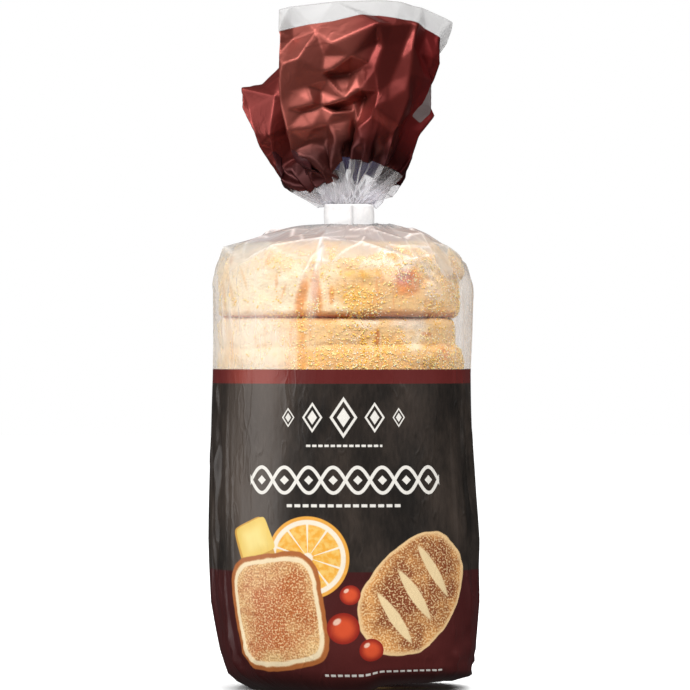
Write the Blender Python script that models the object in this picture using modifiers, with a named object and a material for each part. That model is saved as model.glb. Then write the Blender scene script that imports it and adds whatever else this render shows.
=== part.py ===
"""A film bag of stacked round flat breads, its neck gathered by a band under a flared mouth.

Metres, +Z up. The bag stands on its flat base with its printed front towards -Y.
The origin is on the base plane, under the middle of the bag.
"""

import math

import bmesh
import bpy

MM = 0.001

# The stack of breads that fills the bag
BREAD_COUNT = 6
BREAD_HEIGHT = 27.8 * MM
SEAM_DEPTH = 0.9 * MM  # how far the film sinks in between two breads

# Where the film goes up over the top bread to the neck
SHOULDER_START = 147.0 * MM
SHOULDER_TOP = 172.0 * MM

# The gathered neck, an oval, and the band that holds it
NECK_CENTRE_X = 1.9 * MM
NECK_HALF_WIDTH = 8.2 * MM
NECK_HALF_DEPTH = 4.9 * MM
NECK_TOP = 181.6 * MM
PLEAT_COUNT = 12
NECK_PLEAT = 0.04  # depth of the pleats, as a share of the neck's radius
FLARE_PLEAT = 0.055

BAND_BOTTOM = 172.5 * MM
BAND_TOP = 181.0 * MM
BAND_THICKNESS = 0.5 * MM
BAND_CLEARANCE = 0.35 * MM
BAND_LAP_GAP = 0.35 * MM
BAND_LAP_ANGLE = math.radians(24)
BAND_STEPS = 72

# The open mouth above the neck spreads fast at first and then more slowly
FLARE_SPREAD = 0.42
MOUTH_DIP = 9.0 * MM

RING_POINTS = 72

# Height, left edge, right edge, half depth and squareness of the filled part.
# A squareness of 2 is an ellipse, and more is a rounder-cornered rectangle.
BODY_STATIONS = [
    (0.0, -35.0, 38.0, 34.0, 2.7),
    (1.6, -39.0, 43.0, 39.0, 2.7),
    (6.0, -43.8, 47.6, 43.6, 2.6),
    (15.0, -46.6, 49.6, 45.6, 2.5),
    (33.0, -49.8, 50.8, 46.6, 2.4),
    (56.0, -50.8, 50.2, 46.9, 2.35),
    (92.0, -50.2, 48.0, 47.0, 2.3),
    (118.0, -49.3, 47.4, 47.1, 2.25),
    (147.0, -49.0, 48.4, 47.2, 2.2),
]

# The mouth's edge, anticlockwise from the middle of the front, in millimetres.
# The front panel stands high, and the edge drops behind it at both sides.
MOUTH_EDGE = [
    (8.0, -13.0, 257.6),
    (26.0, -11.0, 254.6),
    (40.6, -4.0, 249.0),
    (37.0, 8.0, 236.0),
    (33.5, 18.0, 224.0),
    (20.0, 25.0, 230.0),
    (2.0, 28.0, 233.0),
    (-16.0, 26.0, 230.0),
    (-32.0, 18.0, 228.0),
    (-41.0, 8.0, 226.5),
    (-26.5, -1.0, 234.0),
    (-25.3, -9.0, 253.8),
]


def clear_scene():
    for old in list(bpy.data.objects):
        bpy.data.objects.remove(old)


def make_collection(name):
    collection = bpy.data.collections.new(name)
    bpy.context.scene.collection.children.link(collection)
    return collection


def make_material(name, colour, roughness):
    material = bpy.data.materials.new(name)
    material.use_nodes = True
    shader = material.node_tree.nodes["Principled BSDF"]
    shader.inputs["Base Color"].default_value = (*colour, 1.0)
    shader.inputs["Roughness"].default_value = roughness
    shader.inputs["Metallic"].default_value = 0.0
    material.diffuse_color = (*colour, 1.0)
    return material


def ring_angles():
    return [2 * math.pi * step / RING_POINTS for step in range(RING_POINTS)]


def rounded_oval(angle, half_width, half_depth, squareness=2.0):
    """A point of a superellipse. Angle 0 is the front, and it goes round by the right."""
    side, front = math.sin(angle), math.cos(angle)
    power = 2.0 / squareness
    x = half_width * math.copysign(abs(side) ** power, side)
    y = -half_depth * math.copysign(abs(front) ** power, front)
    return x, y


def body_station(height):
    """Left, right, half depth and squareness of the filled part at this height, in metres."""
    rows = [(row[0] * MM, *(v * MM for v in row[1:4]), row[4]) for row in BODY_STATIONS]
    for low, high in zip(rows, rows[1:]):
        if height <= high[0]:
            share = (height - low[0]) / (high[0] - low[0])
            return [a + (b - a) * share for a, b in zip(low[1:], high[1:])]
    return rows[-1][1:]


def seam_inset(height):
    """The film sinks in a little where two breads meet, and stands out at their middles."""
    nearest = round(height / BREAD_HEIGHT) * BREAD_HEIGHT
    if not 0 < nearest < BREAD_COUNT * BREAD_HEIGHT:
        return 0.0
    reach = 0.3 * BREAD_HEIGHT
    return SEAM_DEPTH * max(0.0, 1 - abs(height - nearest) / reach)


def body_ring(height):
    left, right, half_depth, squareness = body_station(height)
    inset = seam_inset(height)
    half_width = (right - left) / 2 - inset
    middle = (right + left) / 2
    ring = []
    for angle in ring_angles():
        x, y = rounded_oval(angle, half_width, half_depth - inset, squareness)
        ring.append((middle + x, y, height))
    return ring


def body_heights():
    """The stations near the base, then four heights to each bread up to the shoulder."""
    heights = [row[0] * MM for row in BODY_STATIONS[:4]]
    step = BREAD_HEIGHT / 4
    level = heights[-1] + step / 2
    level = math.ceil(level / step) * step
    while level < SHOULDER_START - step / 2:
        heights.append(level)
        level += step
    return heights + [SHOULDER_START]


def neck_point(angle, height):
    pleat = 1 + NECK_PLEAT * math.cos(PLEAT_COUNT * angle)
    x, y = rounded_oval(angle, NECK_HALF_WIDTH, NECK_HALF_DEPTH)
    return NECK_CENTRE_X + x * pleat, y * pleat, height


def shoulder_ring(share):
    """From the body at share 0 over the top bread to the neck at share 1."""
    left, right, half_depth, squareness = body_station(SHOULDER_START)
    turn = share * math.pi / 2
    height = SHOULDER_START + (SHOULDER_TOP - SHOULDER_START) * math.sin(turn)
    spread = math.cos(turn)
    ring = []
    for angle in ring_angles():
        x, y = rounded_oval(angle, (right - left) / 2, half_depth, squareness)
        wave = 1 + FLARE_PLEAT * share * (1 - share) * 2 * math.cos(PLEAT_COUNT * angle)
        neck_x, neck_y, _ = neck_point(angle, height)
        outer_x, outer_y = (left + right) / 2 + x * wave, y * wave
        ring.append(
            (
                neck_x + (outer_x - neck_x) * spread,
                neck_y + (outer_y - neck_y) * spread,
                height,
            )
        )
    return ring


def mouth_point(angle):
    """A point on the mouth's edge, on straight runs between its corners."""
    place = angle / (2 * math.pi) * len(MOUTH_EDGE)
    index = int(place) % len(MOUTH_EDGE)
    share = place - int(place)
    start, end = MOUTH_EDGE[index], MOUTH_EDGE[(index + 1) % len(MOUTH_EDGE)]
    return [(a + (b - a) * share) * MM for a, b in zip(start, end)]


def flare_ring(share):
    """From the neck at share 0 to the mouth's edge at share 1."""
    spread = share**FLARE_SPREAD
    ring = []
    for angle in ring_angles():
        neck_x, neck_y, neck_z = neck_point(angle, NECK_TOP)
        mouth_x, mouth_y, mouth_z = mouth_point(angle)
        wave = FLARE_PLEAT * math.sin(math.pi * share) * math.cos(PLEAT_COUNT * angle)
        ring.append(
            (
                neck_x + (mouth_x - neck_x) * (spread + wave),
                neck_y + (mouth_y - neck_y) * (spread + wave),
                neck_z + (mouth_z - neck_z) * share,
            )
        )
    return ring


def mouth_floor_ring(share):
    """Rings inside the mouth, which dips towards its middle: share 0 is the edge."""
    edge = flare_ring(1.0)
    middle = [sum(point[axis] for point in edge) / len(edge) for axis in range(3)]
    middle[2] -= MOUTH_DIP
    return [
        tuple(a + (b - a) * share for a, b in zip(point, middle)) for point in edge
    ]


def loft(name, rings, material, collection):
    """Closes a stack of rings of equal length with quads, and its two ends with fans."""
    mesh = bmesh.new()
    rows = [[mesh.verts.new(point) for point in ring] for ring in rings]
    for low, high in zip(rows, rows[1:]):
        for a, b, c, d in zip(low, low[1:] + low[:1], high[1:] + high[:1], high):
            mesh.faces.new((a, b, c, d))
    for row, outward in ((rows[0], -1), (rows[-1], 1)):
        centre = mesh.verts.new(
            [sum(vert.co[axis] for vert in row) / len(row) for axis in range(3)]
        )
        for a, b in zip(row, row[1:] + row[:1]):
            mesh.faces.new((a, b, centre) if outward > 0 else (b, a, centre))
    data = bpy.data.meshes.new(name)
    mesh.to_mesh(data)
    mesh.free()
    data.materials.append(material)
    data.shade_smooth()
    data.set_sharp_from_angle(angle=math.radians(40))
    made = bpy.data.objects.new(name, data)
    collection.objects.link(made)
    return made


def make_bag(material, collection):
    rings = [body_ring(height) for height in body_heights()]
    rings += [shoulder_ring(share) for share in (0.18, 0.36, 0.54, 0.72, 0.88, 1.0)]
    rings += [[neck_point(a, NECK_TOP) for a in ring_angles()]]
    rings += [flare_ring(share) for share in (0.05, 0.14, 0.28, 0.45, 0.64, 0.82, 1.0)]
    rings += [mouth_floor_ring(share) for share in (0.2, 0.55)]
    return loft("bag", rings, material, collection)


def band_point(angle, lift):
    """A point on the band's inner side. The band starts left of the front and laps over itself."""
    turned = angle - BAND_LAP_ANGLE
    wind = (BAND_THICKNESS + BAND_LAP_GAP) * angle / (2 * math.pi)
    room = NECK_PLEAT * NECK_HALF_WIDTH + BAND_CLEARANCE + wind
    x, y = rounded_oval(turned, NECK_HALF_WIDTH + room, NECK_HALF_DEPTH + room)
    return NECK_CENTRE_X + x, y, lift


def make_band(material, collection):
    """A strip of film wound once round the neck, with its end lapped over its start."""
    turn = 2 * math.pi + BAND_LAP_ANGLE
    mesh = bmesh.new()
    edges = []
    for lift in (BAND_BOTTOM, BAND_TOP):
        angles = [turn * step / BAND_STEPS for step in range(BAND_STEPS + 1)]
        edges.append([mesh.verts.new(band_point(angle, lift)) for angle in angles])
    low, high = edges
    for a, b, c, d in zip(low, low[1:], high[1:], high):
        mesh.faces.new((a, b, c, d))
    data = bpy.data.meshes.new("neck_band")
    mesh.to_mesh(data)
    mesh.free()
    data.materials.append(material)
    made = bpy.data.objects.new("neck_band", data)
    collection.objects.link(made)
    wall = made.modifiers.new("wall", "SOLIDIFY")
    wall.thickness = BAND_THICKNESS
    wall.offset = 1.0
    wall.use_even_offset = True
    return made


def main():
    clear_scene()
    collection = make_collection("bag_of_english_muffins")
    film = make_material("printed_film", (0.12, 0.05, 0.045), 0.3)
    band = make_material("white_band", (0.88, 0.88, 0.87), 0.45)
    make_bag(film, collection)
    make_band(band, collection)


main()
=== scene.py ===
import math

import bmesh
import bpy
import numpy as np
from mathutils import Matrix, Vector, geometry, noise


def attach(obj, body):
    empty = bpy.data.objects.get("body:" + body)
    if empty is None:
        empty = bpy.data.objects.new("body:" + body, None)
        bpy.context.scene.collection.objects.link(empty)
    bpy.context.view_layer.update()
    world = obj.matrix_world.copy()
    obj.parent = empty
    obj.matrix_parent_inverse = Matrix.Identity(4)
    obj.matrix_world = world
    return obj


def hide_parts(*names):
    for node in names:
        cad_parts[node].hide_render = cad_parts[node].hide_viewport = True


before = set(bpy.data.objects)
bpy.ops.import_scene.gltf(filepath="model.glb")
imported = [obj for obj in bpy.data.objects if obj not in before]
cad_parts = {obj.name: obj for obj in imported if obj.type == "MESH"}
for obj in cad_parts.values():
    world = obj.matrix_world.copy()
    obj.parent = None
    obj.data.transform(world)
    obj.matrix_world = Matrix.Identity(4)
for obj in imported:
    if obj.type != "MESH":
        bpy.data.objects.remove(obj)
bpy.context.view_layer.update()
mm = 0.001

stack = {
    "height": 27.8,  # of one muffin, in millimetres as all sizes in these dictionaries
    # from the bottom up: centre's x, radius, lower and upper corner radius
    "muffins": (
        (0.6, 44.2, 13, 7),
        (-0.4, 45, 6, 7),
        (-1.2, 44.8, 6, 7),
        (-1.6, 44.8, 6, 7),
        (-2.3, 45.3, 5, 3.6),
        (-1.9, 46.4, 2.8, 13),
    ),
}

film = {
    "thickness": 0.08,
    "neckCentre": 1.9,
    "neckWide": 8.0,
    "neckDeep": 4.7,
    "neckLow": 172.5,
    "neckHigh": 181.6,
}


# Film solver: a grid of points held together by links of fixed length, in millimetres.


def pullTogether(low, high, lowFree, highFree, rest, stiff, creaseAt=None):
    gap = high - low
    length = np.sqrt(np.einsum("...k,...k->...", gap, gap))[..., None] + 1e-6
    if creaseAt is not None:
        stiff = stiff * (length > rest * creaseAt)
    gap *= (1.0 - rest / length) * (stiff / (lowFree + highFree + 1e-9))
    low += gap * lowFree
    high -= gap * highFree


def sweepLinks(grid, free, restU, restV, bend, creaseAt=None):
    rows, columns = grid.shape[:2]
    pullTogether(grid[:, 0::2], grid[:, 1::2], free[:, 0::2], free[:, 1::2], restU, 1.0)
    pullTogether(grid[:, 1:-1:2], grid[:, 2::2], free[:, 1:-1:2], free[:, 2::2], restU, 1.0)
    pullTogether(grid[:, -1:], grid[:, :1], free[:, -1:], free[:, :1], restU, 1.0)
    slant = np.sqrt(((restU[:-1] + restU[1:]) / 2) ** 2 + restV ** 2)
    for start in (0, 1):
        pairs = (rows - start) // 2
        end = start + 2 * pairs
        low, high = grid[start:end:2], grid[start + 1:end + 1:2]
        lowFree, highFree = free[start:end:2], free[start + 1:end + 1:2]
        rise, cross = restV[start:end:2], slant[start:end:2]
        pullTogether(low, high, lowFree, highFree, rise, 1.0)
        for a, b in ((slice(None, -1), slice(1, None)), (slice(-1, None), slice(None, 1))):
            pullTogether(low[:, a], high[:, b], lowFree[:, a], highFree[:, b], cross[:, a], 0.5)
            pullTogether(low[:, b], high[:, a], lowFree[:, b], highFree[:, a], cross[:, b], 0.5)
    if bend <= 0:
        return
    fours = grid.reshape(rows, columns // 4, 4, 3)
    loose = free.reshape(rows, columns // 4, 4, 1)
    first, second = slice(0, 2), slice(2, 4)
    skip = 2 * restU[..., None]
    pullTogether(fours[:, :, first], fours[:, :, second], loose[:, :, first], loose[:, :, second], skip, bend, creaseAt)
    pullTogether(fours[:, :-1, second], fours[:, 1:, first], loose[:, :-1, second], loose[:, 1:, first], skip, bend, creaseAt)
    pullTogether(fours[:, -1:, second], fours[:, :1, first], loose[:, -1:, second], loose[:, :1, first], skip, bend, creaseAt)
    for start in range(4):
        high = grid[start + 2::4]
        count = len(high)
        reach = (restV[start::4][:count] + restV[start + 1::4][:count])
        pullTogether(grid[start::4][:count], high, free[start::4][:count], free[start + 2::4], reach, bend, creaseAt)


def refine(grid):
    # twice as many columns, and twice as many rows less one
    wide = np.empty((grid.shape[0], grid.shape[1] * 2, grid.shape[2]), grid.dtype)
    wide[:, 0::2] = grid
    wide[:, 1::2] = (grid + np.roll(grid, -1, 1)) / 2
    tall = np.empty((grid.shape[0] * 2 - 1, wide.shape[1], grid.shape[2]), grid.dtype)
    tall[0::2] = wide
    tall[1::2] = (wide[:-1] + wide[1:]) / 2
    return tall


def outward(grid):
    # unit normals of the grid, pointing away from the tube's inside
    along = np.roll(grid, -1, 1) - np.roll(grid, 1, 1)
    up = np.gradient(grid, axis=0)
    normal = np.cross(along, up)
    return normal / (np.linalg.norm(normal, axis=2, keepdims=True) + 1e-9)


def tri(phase):
    # a zigzag from -1 to 1 with a period of 1
    return 4 * np.abs(phase - np.floor(phase + 0.5)) - 1


def unevenPhase(share, waves, seed, jitter=0.32):
    # turns a share of the way round into wave numbers of uneven width
    rng = np.random.default_rng(seed)
    knots = np.arange(waves + 1) + np.concatenate([[0], rng.uniform(-jitter, jitter, waves - 1), [0]])
    return np.interp(share, np.linspace(0, 1, waves + 1), knots)


flare = {
    "length": 84.0,  # of film from the band to the lip
    "girth": 290.0,
    "inkLow": 18.0,
    "inkDrop": 8.5,  # how much lower the ink ends at the left
    "turnedStrip": ((28.8, 46.0), (2.5, 7.6), -14),  # clear strip of the turned lip: middle, half sizes, lean
    "inkHigh": 75.4,
    "levels": (0, 20, 46, 66, 75.4, 84),
    # place round the film, then a point at each level above the band
    "lines": (
        (-111, (-14, 9, 191), (-22, 14, 208), (-26, 18, 223), (-24, 23, 221), (-21, 26, 216)),
        (-91, (-23, 4, 189), (-34.5, 5, 209.5), (-41.4, 9, 227), (-38, 15, 222), (-34, 20, 216)),
        (-62, (-10, -1, 193.5), (-15, 3, 214), (-15, 4, 231), (-14, 6, 238.5), (-13, 9, 246)),
        (-40, (-16, -7, 197), (-24.8, -10, 219.5), (-25.4, -11, 237.5), (-25.4, -10, 245.4), (-25.4, -9, 254)),
        (0, (7, -12, 200), (12, -16.5, 224), (12.3, -18, 243.5), (12.8, -17.5, 253.4), (13.2, -10.5, 257.6)),
        (14, (17.5, -11, 198.5), (26, -17.5, 221.5), (26, -18, 240), (25.5, -15, 249.2), (25.5, -8.5, 255.4)),
        (22, (16, -5.5, 195), (27, -10.5, 220.5), (28, -10.5, 238.8), (30, -9.5, 247), (32.4, -6.5, 253)),
        (31, (22, -1, 194.5), (33.4, -5, 219.5), (37, -9, 238), (37, -8, 244.2), (41, -5, 250)),
        (42, (20, 3, 193.5), (29, 1, 216), (35.4, -1, 231), (36.4, 0, 236.5), (39.4, 1.5, 241.5)),
        (58, (15, 6, 193), (20, 9, 213), (20, 8, 227), (23, 9, 232), (26, 9, 238)),
        (80, (18, 11, 190), (31, 17, 214), (33.5, 23, 227), (33, 25, 233), (32, 26, 240)),
        (104, (10, 17, 192), (15, 32, 211), (16, 36, 227), (17, 37, 235), (18, 38, 243)),
        (128, (0, 18, 193), (-5, 38, 211), (-6, 40, 228), (-6, 41, 236), (-6, 42, 243)),
        (152, (-9, 17, 192), (-23, 32, 209), (-24, 35, 222), (-24, 37, 229), (-23, 38, 236)),
    ),
    "facets": {
        "seed": 12,
        "spacing": 14.0,  # between the corners of the flat facets that crumpling leaves
        "lift": 2.0,
        "low": 16.0,  # height where they start
        "sharpen": 2.0,
        "flatness": 0.85,
        "front": (-43, 15),  # the span of the front panel, whose corners follow
        # place, height and lift of each corner of the front panel's creases
        "corners": (
            (-40, 76, 0), (-34, 71, -1.6), (-31, 62, 0.8), (-37, 61, 0.2), (-24, 72, 0.4), (-21, 60, -1.2),
            (-18, 66, 0.6), (-1, 70, 3), (-12, 63, 2.6), (-20, 57, 2.2), (-23, 56, 1.2), (-14, 53, -3),
            (-20, 52, -1.4), (-24, 45, -2.6), (-21, 51, 1), (-28, 43, 1), (9, 59, -0.8), (7, 51, -1.6),
            (-10, 49, -1.4), (-3, 57, -0.4), (-8, 46, 1.6), (1, 45, 0.6), (-9, 41, -1.6), (-18, 39, -3.4),
            (-21, 42, 1.4), (-16, 44, 1.8), (-11, 39, 1.4), (-13, 36, 0.8), (-20, 35, 1.2), (-24, 39, 0.4),
            (3, 40, 1.6), (-11, 23, -1.2), (-2, 19, 1.6), (4, 23, -1.6), (10, 20, 0.6), (7, 43, -1),
            (12, 48, 0), (12, 31, 0.2), (-38, 43, 0), (-31, 38, -1.6), (-31, 33, 1.6), (-23, 32, 0.4),
            (-35, 29, 0), (-27, 26, -1.4), (-21, 24, 0.8), (-16, 25, 1.4), (-14, 33, 0.6), (-35, 50, 0.2),
            (-29, 50, 0.8), (-7, 32, -0.6), (-3, 30, 1), (27, 66, 1.2), (28, 55, 1.6), (30, 42, -1),
            (6, 72, 1.2), (11, 67, -1.2), (15, 74, 0.8), (3, 64, 1.2),
        ),
    },
}


def neckRing(count, girth):
    # columns of film gathered into the oval neck, in even zigzags
    share = np.arange(count) / count
    turn = 2 * math.pi * (share - 0.5)
    x = film["neckWide"] * np.sin(turn)
    y = -film["neckDeep"] * np.cos(turn)
    return np.stack([x + film["neckCentre"], y], 1)


def flareCage(rows, columns):
    girth, levels = flare["girth"], np.array(flare["levels"], float)
    share = np.arange(columns) / columns
    u = (share - 0.5) * girth
    v = np.linspace(0, flare["length"], rows)
    lines = flare["lines"]
    neck = neckRing(columns, girth)
    around = np.array([line[0] for line in lines], float)
    neckAt = np.stack([np.interp(around, u, neck[:, k]) for k in range(2)], 1)
    cage = np.zeros((len(levels), len(lines), 3))
    cage[0, :, :2] = neckAt
    cage[0, :, 2] = film["neckHigh"]
    for column, line in enumerate(lines):
        cage[1:, column] = line[1:]
    # close the cage round the back
    around = np.concatenate([[around[-1] - girth], around])
    cage = np.concatenate([cage[:, -1:], cage], 1)
    level = np.stack([[np.interp(v, levels, cage[:, c, k]) for k in range(3)] for c in range(cage.shape[1])])
    base = np.zeros((rows, columns, 3))
    for row in range(rows):
        for k in range(3):
            base[row, :, k] = np.interp(u, around, level[:, k, row])
        if v[row] < levels[1]:
            mix = 1 - v[row] / levels[1]
            ring = np.concatenate([neck, np.full((columns, 1), film["neckHigh"])], 1)
            top = np.stack([np.interp(u, around, cage[1, :, k]) for k in range(3)], 1)
            base[row] = ring * mix + top * (1 - mix)
    return base, u, v


def addPleats(base, girth, waveSets, inward=0.0):
    # lifts the film in zigzags off a base that is too short for it
    rows, columns = base.shape[:2]
    share = np.arange(columns) / columns
    step = np.linalg.norm(np.roll(base, -1, 1) - np.roll(base, 1, 1), axis=2) / 2
    ratio = np.clip(step / (girth / columns), 0, 0.995)
    for _ in range(3):
        ratio = (np.roll(ratio, 1, 1) + ratio + np.roll(ratio, -1, 1)) / 3
    slack = np.sqrt(1 - ratio ** 2)
    lift = np.zeros((rows, columns))
    for waves, seed, weight in waveSets:
        zigzag = tri(unevenPhase(share, waves, seed))
        lift += weight[:, None] * slack * (girth / waves / 4) * zigzag
    return base + outward(base) * (lift - inward * np.abs(lift).max())[..., None]


def facetCorners(settings, girth, length):
    # the front panel's own corners, and others in uneven steps over the rest of the film
    rng = np.random.default_rng(settings["seed"])
    corners = list(settings["corners"])
    step = settings["spacing"]
    left, right = settings["front"]
    for height in np.arange(settings["low"], length + step, step):
        for place in np.arange(-girth / 2, girth / 2 - step / 2, step):
            across, up, lift = rng.uniform(-0.42, 0.42, 3)
            level = min(height + up * step, length)
            if level > length - 3:
                level, lift = length, 0
            if not left < place + across * step < right or level > settings["corners"][0][1] + 4:
                corners.append((place + across * step, level, 2 * lift * settings["lift"]))
    for place in np.arange(-girth / 2, girth / 2, step):
        corners.append((place, settings["low"] - step, 0))
    around = [(u + girth * side, v, lift) for side in (-1, 1) for u, v, lift in corners if abs(u + girth * side) < girth / 2 + 30]
    return corners + around


def gridPlaces(grid, place, height, u, v):
    # points of the grid at places on the flat film
    rows, columns = grid.shape[:2]
    column = (place - u[0]) / (u[1] - u[0])
    row = np.clip(np.interp(height, v, np.arange(rows)), 0, rows - 1.001)
    left, low = np.floor(column).astype(int), np.floor(row).astype(int)
    across, up = (column - left)[:, None], (row - low)[:, None]
    left, right = left % columns, (left + 1) % columns
    bottom = grid[low, left] * (1 - across) + grid[low, right] * across
    top = grid[low + 1, left] * (1 - across) + grid[low + 1, right] * across
    return bottom * (1 - up) + top * up


def spreadOver(corners, values, u, v, tones=None):
    # values at the corners, carried over the grid on flat triangles between them
    flat = [Vector((a, b)) for a, b, _ in corners]
    spots, _, triangles, origins, _, _ = geometry.delaunay_2d_cdt(flat, [], [], 0, 1e-4)
    values = [values[origin[0]] for origin in origins]
    across, up = np.meshgrid(u, v)
    result = np.zeros(across.shape + np.shape(values[0]))
    for number, (a, b, c) in enumerate(triangles):
        (ax, ay), (bx, by), (cx, cy) = spots[a], spots[b], spots[c]
        area = (bx - ax) * (cy - ay) - (cx - ax) * (by - ay)
        if abs(area) < 1e-6:
            continue
        second = ((across - ax) * (cy - ay) - (cx - ax) * (up - ay)) / area
        third = ((bx - ax) * (up - ay) - (across - ax) * (by - ay)) / area
        inside = (second >= -1e-6) & (third >= -1e-6) & (second + third <= 1 + 1e-6)
        if tones is not None:
            result[inside] = tones[number % len(tones)]
            continue
        shares = np.stack([1 - second - third, second, third], -1)[inside]
        result[inside] = shares @ np.array([values[a], values[b], values[c]])
    return result


def settleFlare():
    print("settling the flared mouth")
    girth, length = flare["girth"], flare["length"]
    rows, columns = 29, 104
    base, u, v = flareCage(rows, columns)
    rise = np.clip(v / length, 0, 1)
    fine = np.clip(1 - rise / 0.35, 0, 1)
    wide = np.clip((rise - 0.35) / 0.5, 0, 1)
    waveSets = ((30, 3, fine), (15, 4, 1 - fine - wide), (9, 5, wide))
    grid = addPleats(base, girth, waveSets).astype(np.float32)
    grid[0] = base[0] + (grid[0] - base[0]) * 0.3  # pressed together under the band
    rng = np.random.default_rng(11)
    corners = facetCorners(flare["facets"], girth, length)
    lifts = [(corner[2],) for corner in corners]
    # turns, stiffness against bending, where a crease gives way, and strength of the holds
    stages = ((220, 0.1, 0.9, 0.4), (200, 0.25, 0.975, 0.2), (70, 0.3, 0.985, 0.1))
    for stage, (count, bend, creaseAt, strength) in enumerate(stages):
        if stage:
            grid = refine(grid)
            rows, columns = grid.shape[:2]
        base, u, v = flareCage(rows, columns)
        free = np.ones((rows, columns, 1), np.float32)
        free[0] = 0
        restU = np.full((rows, 1, 1), girth / columns, np.float32)
        restV = np.full((rows - 1, columns, 1), length / (rows - 1), np.float32)
        if stage == 0:
            grid += rng.normal(0, 0.2, grid.shape).astype(np.float32) * free
        if stage == 1:
            grid += outward(grid) * spreadOver(corners, lifts, u, v).astype(np.float32) * free
        before = grid.copy()
        hold = np.zeros((rows, columns, 1), np.float32)
        for line in flare["lines"]:
            column = int(round((line[0] / girth + 0.5) * columns)) % columns
            for level in flare["levels"][1:]:
                hold[int(round(level / length * (rows - 1))), column] = strength
        target = base.astype(np.float32)
        for turn in range(count):
            ahead = grid + 0.9 * (grid - before) * free
            before = grid
            grid = ahead
            for _ in range(2):
                sweepLinks(grid, free, restU, restV, bend, creaseAt)
            grid += (target - grid) * hold
    return facetFilm(grid, corners, u, v)


def facetFilm(grid, corners, u, v):
    # crumpled film is flat between its creases
    facets = flare["facets"]
    girth, length = flare["girth"], flare["length"]
    for line in flare["lines"]:
        for height in np.linspace(facets["low"], length, 8):
            corners = corners + [(line[0] + side * girth, height, 0) for side in (-1, 0, 1) if abs(line[0] + side * girth) < girth / 2 + 30]
    place, height, lift = np.array(corners, float).T
    settled = gridPlaces(grid, place, height, u, v)
    normal = gridPlaces(outward(grid), place, height, u, v)
    flat = spreadOver(corners, settled + normal * lift[:, None] * facets["sharpen"], u, v)
    share = np.clip((v - facets["low"] - 6) / 12, 0, 1)[:, None, None] * facets["flatness"]
    grid = grid * (1 - share) + flat * share
    soft = (np.roll(grid, 1, 1) + 6 * grid + np.roll(grid, -1, 1)) / 8
    return np.where(v[:, None, None] > facets["low"], soft, grid)


def gridMesh(name, grid, uv):
    # a mesh of quads from a closed ring grid, in metres, with the flat film's places as its UV map
    rows, columns = grid.shape[:2]
    data = bpy.data.meshes.new(name)
    index = np.arange(rows * columns).reshape(rows, columns)
    nextIndex = np.roll(index, -1, 1)
    quads = np.stack([index[:-1], nextIndex[:-1], nextIndex[1:], index[1:]], -1).reshape(-1, 4)
    data.from_pydata((grid.reshape(-1, 3) * mm).tolist(), [], quads.tolist())
    wrapped = np.concatenate([uv, uv[:, :1] + [[[uv[0, -1, 0] - uv[0, 0, 0] + uv[0, 1, 0] - uv[0, 0, 0], 0]]]], 1)
    corners = np.stack([wrapped[:-1, :-1], wrapped[:-1, 1:], wrapped[1:, 1:], wrapped[1:, :-1]], 2).reshape(-1, 2)
    layer = data.uv_layers.new(name="film")
    layer.data.foreach_set("uv", corners.astype(np.float32).ravel())
    data.shade_smooth()
    made = bpy.data.objects.new(name, data)
    bpy.context.scene.collection.objects.link(made)
    return made


def solidify(piece, thickness, inner=0):
    wall = piece.modifiers.new("wall", "SOLIDIFY")
    wall.thickness = thickness * mm
    wall.offset = 0
    wall.material_offset = inner
    bpy.context.view_layer.update()
    graph = bpy.context.evaluated_depsgraph_get()
    solid = bpy.data.meshes.new_from_object(piece.evaluated_get(graph))
    piece.modifiers.clear()
    piece.data = solid
    return piece


def shapeRing(angles, halfWide, halfDeep, square):
    # a rounded oblong, from the front round by the right
    side, front = np.sin(angles), np.cos(angles)
    x = halfWide * np.sign(side) * np.abs(side) ** (2 / square)
    y = -halfDeep * np.sign(front) * np.abs(front) ** (2 / square)
    return x, y


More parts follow.
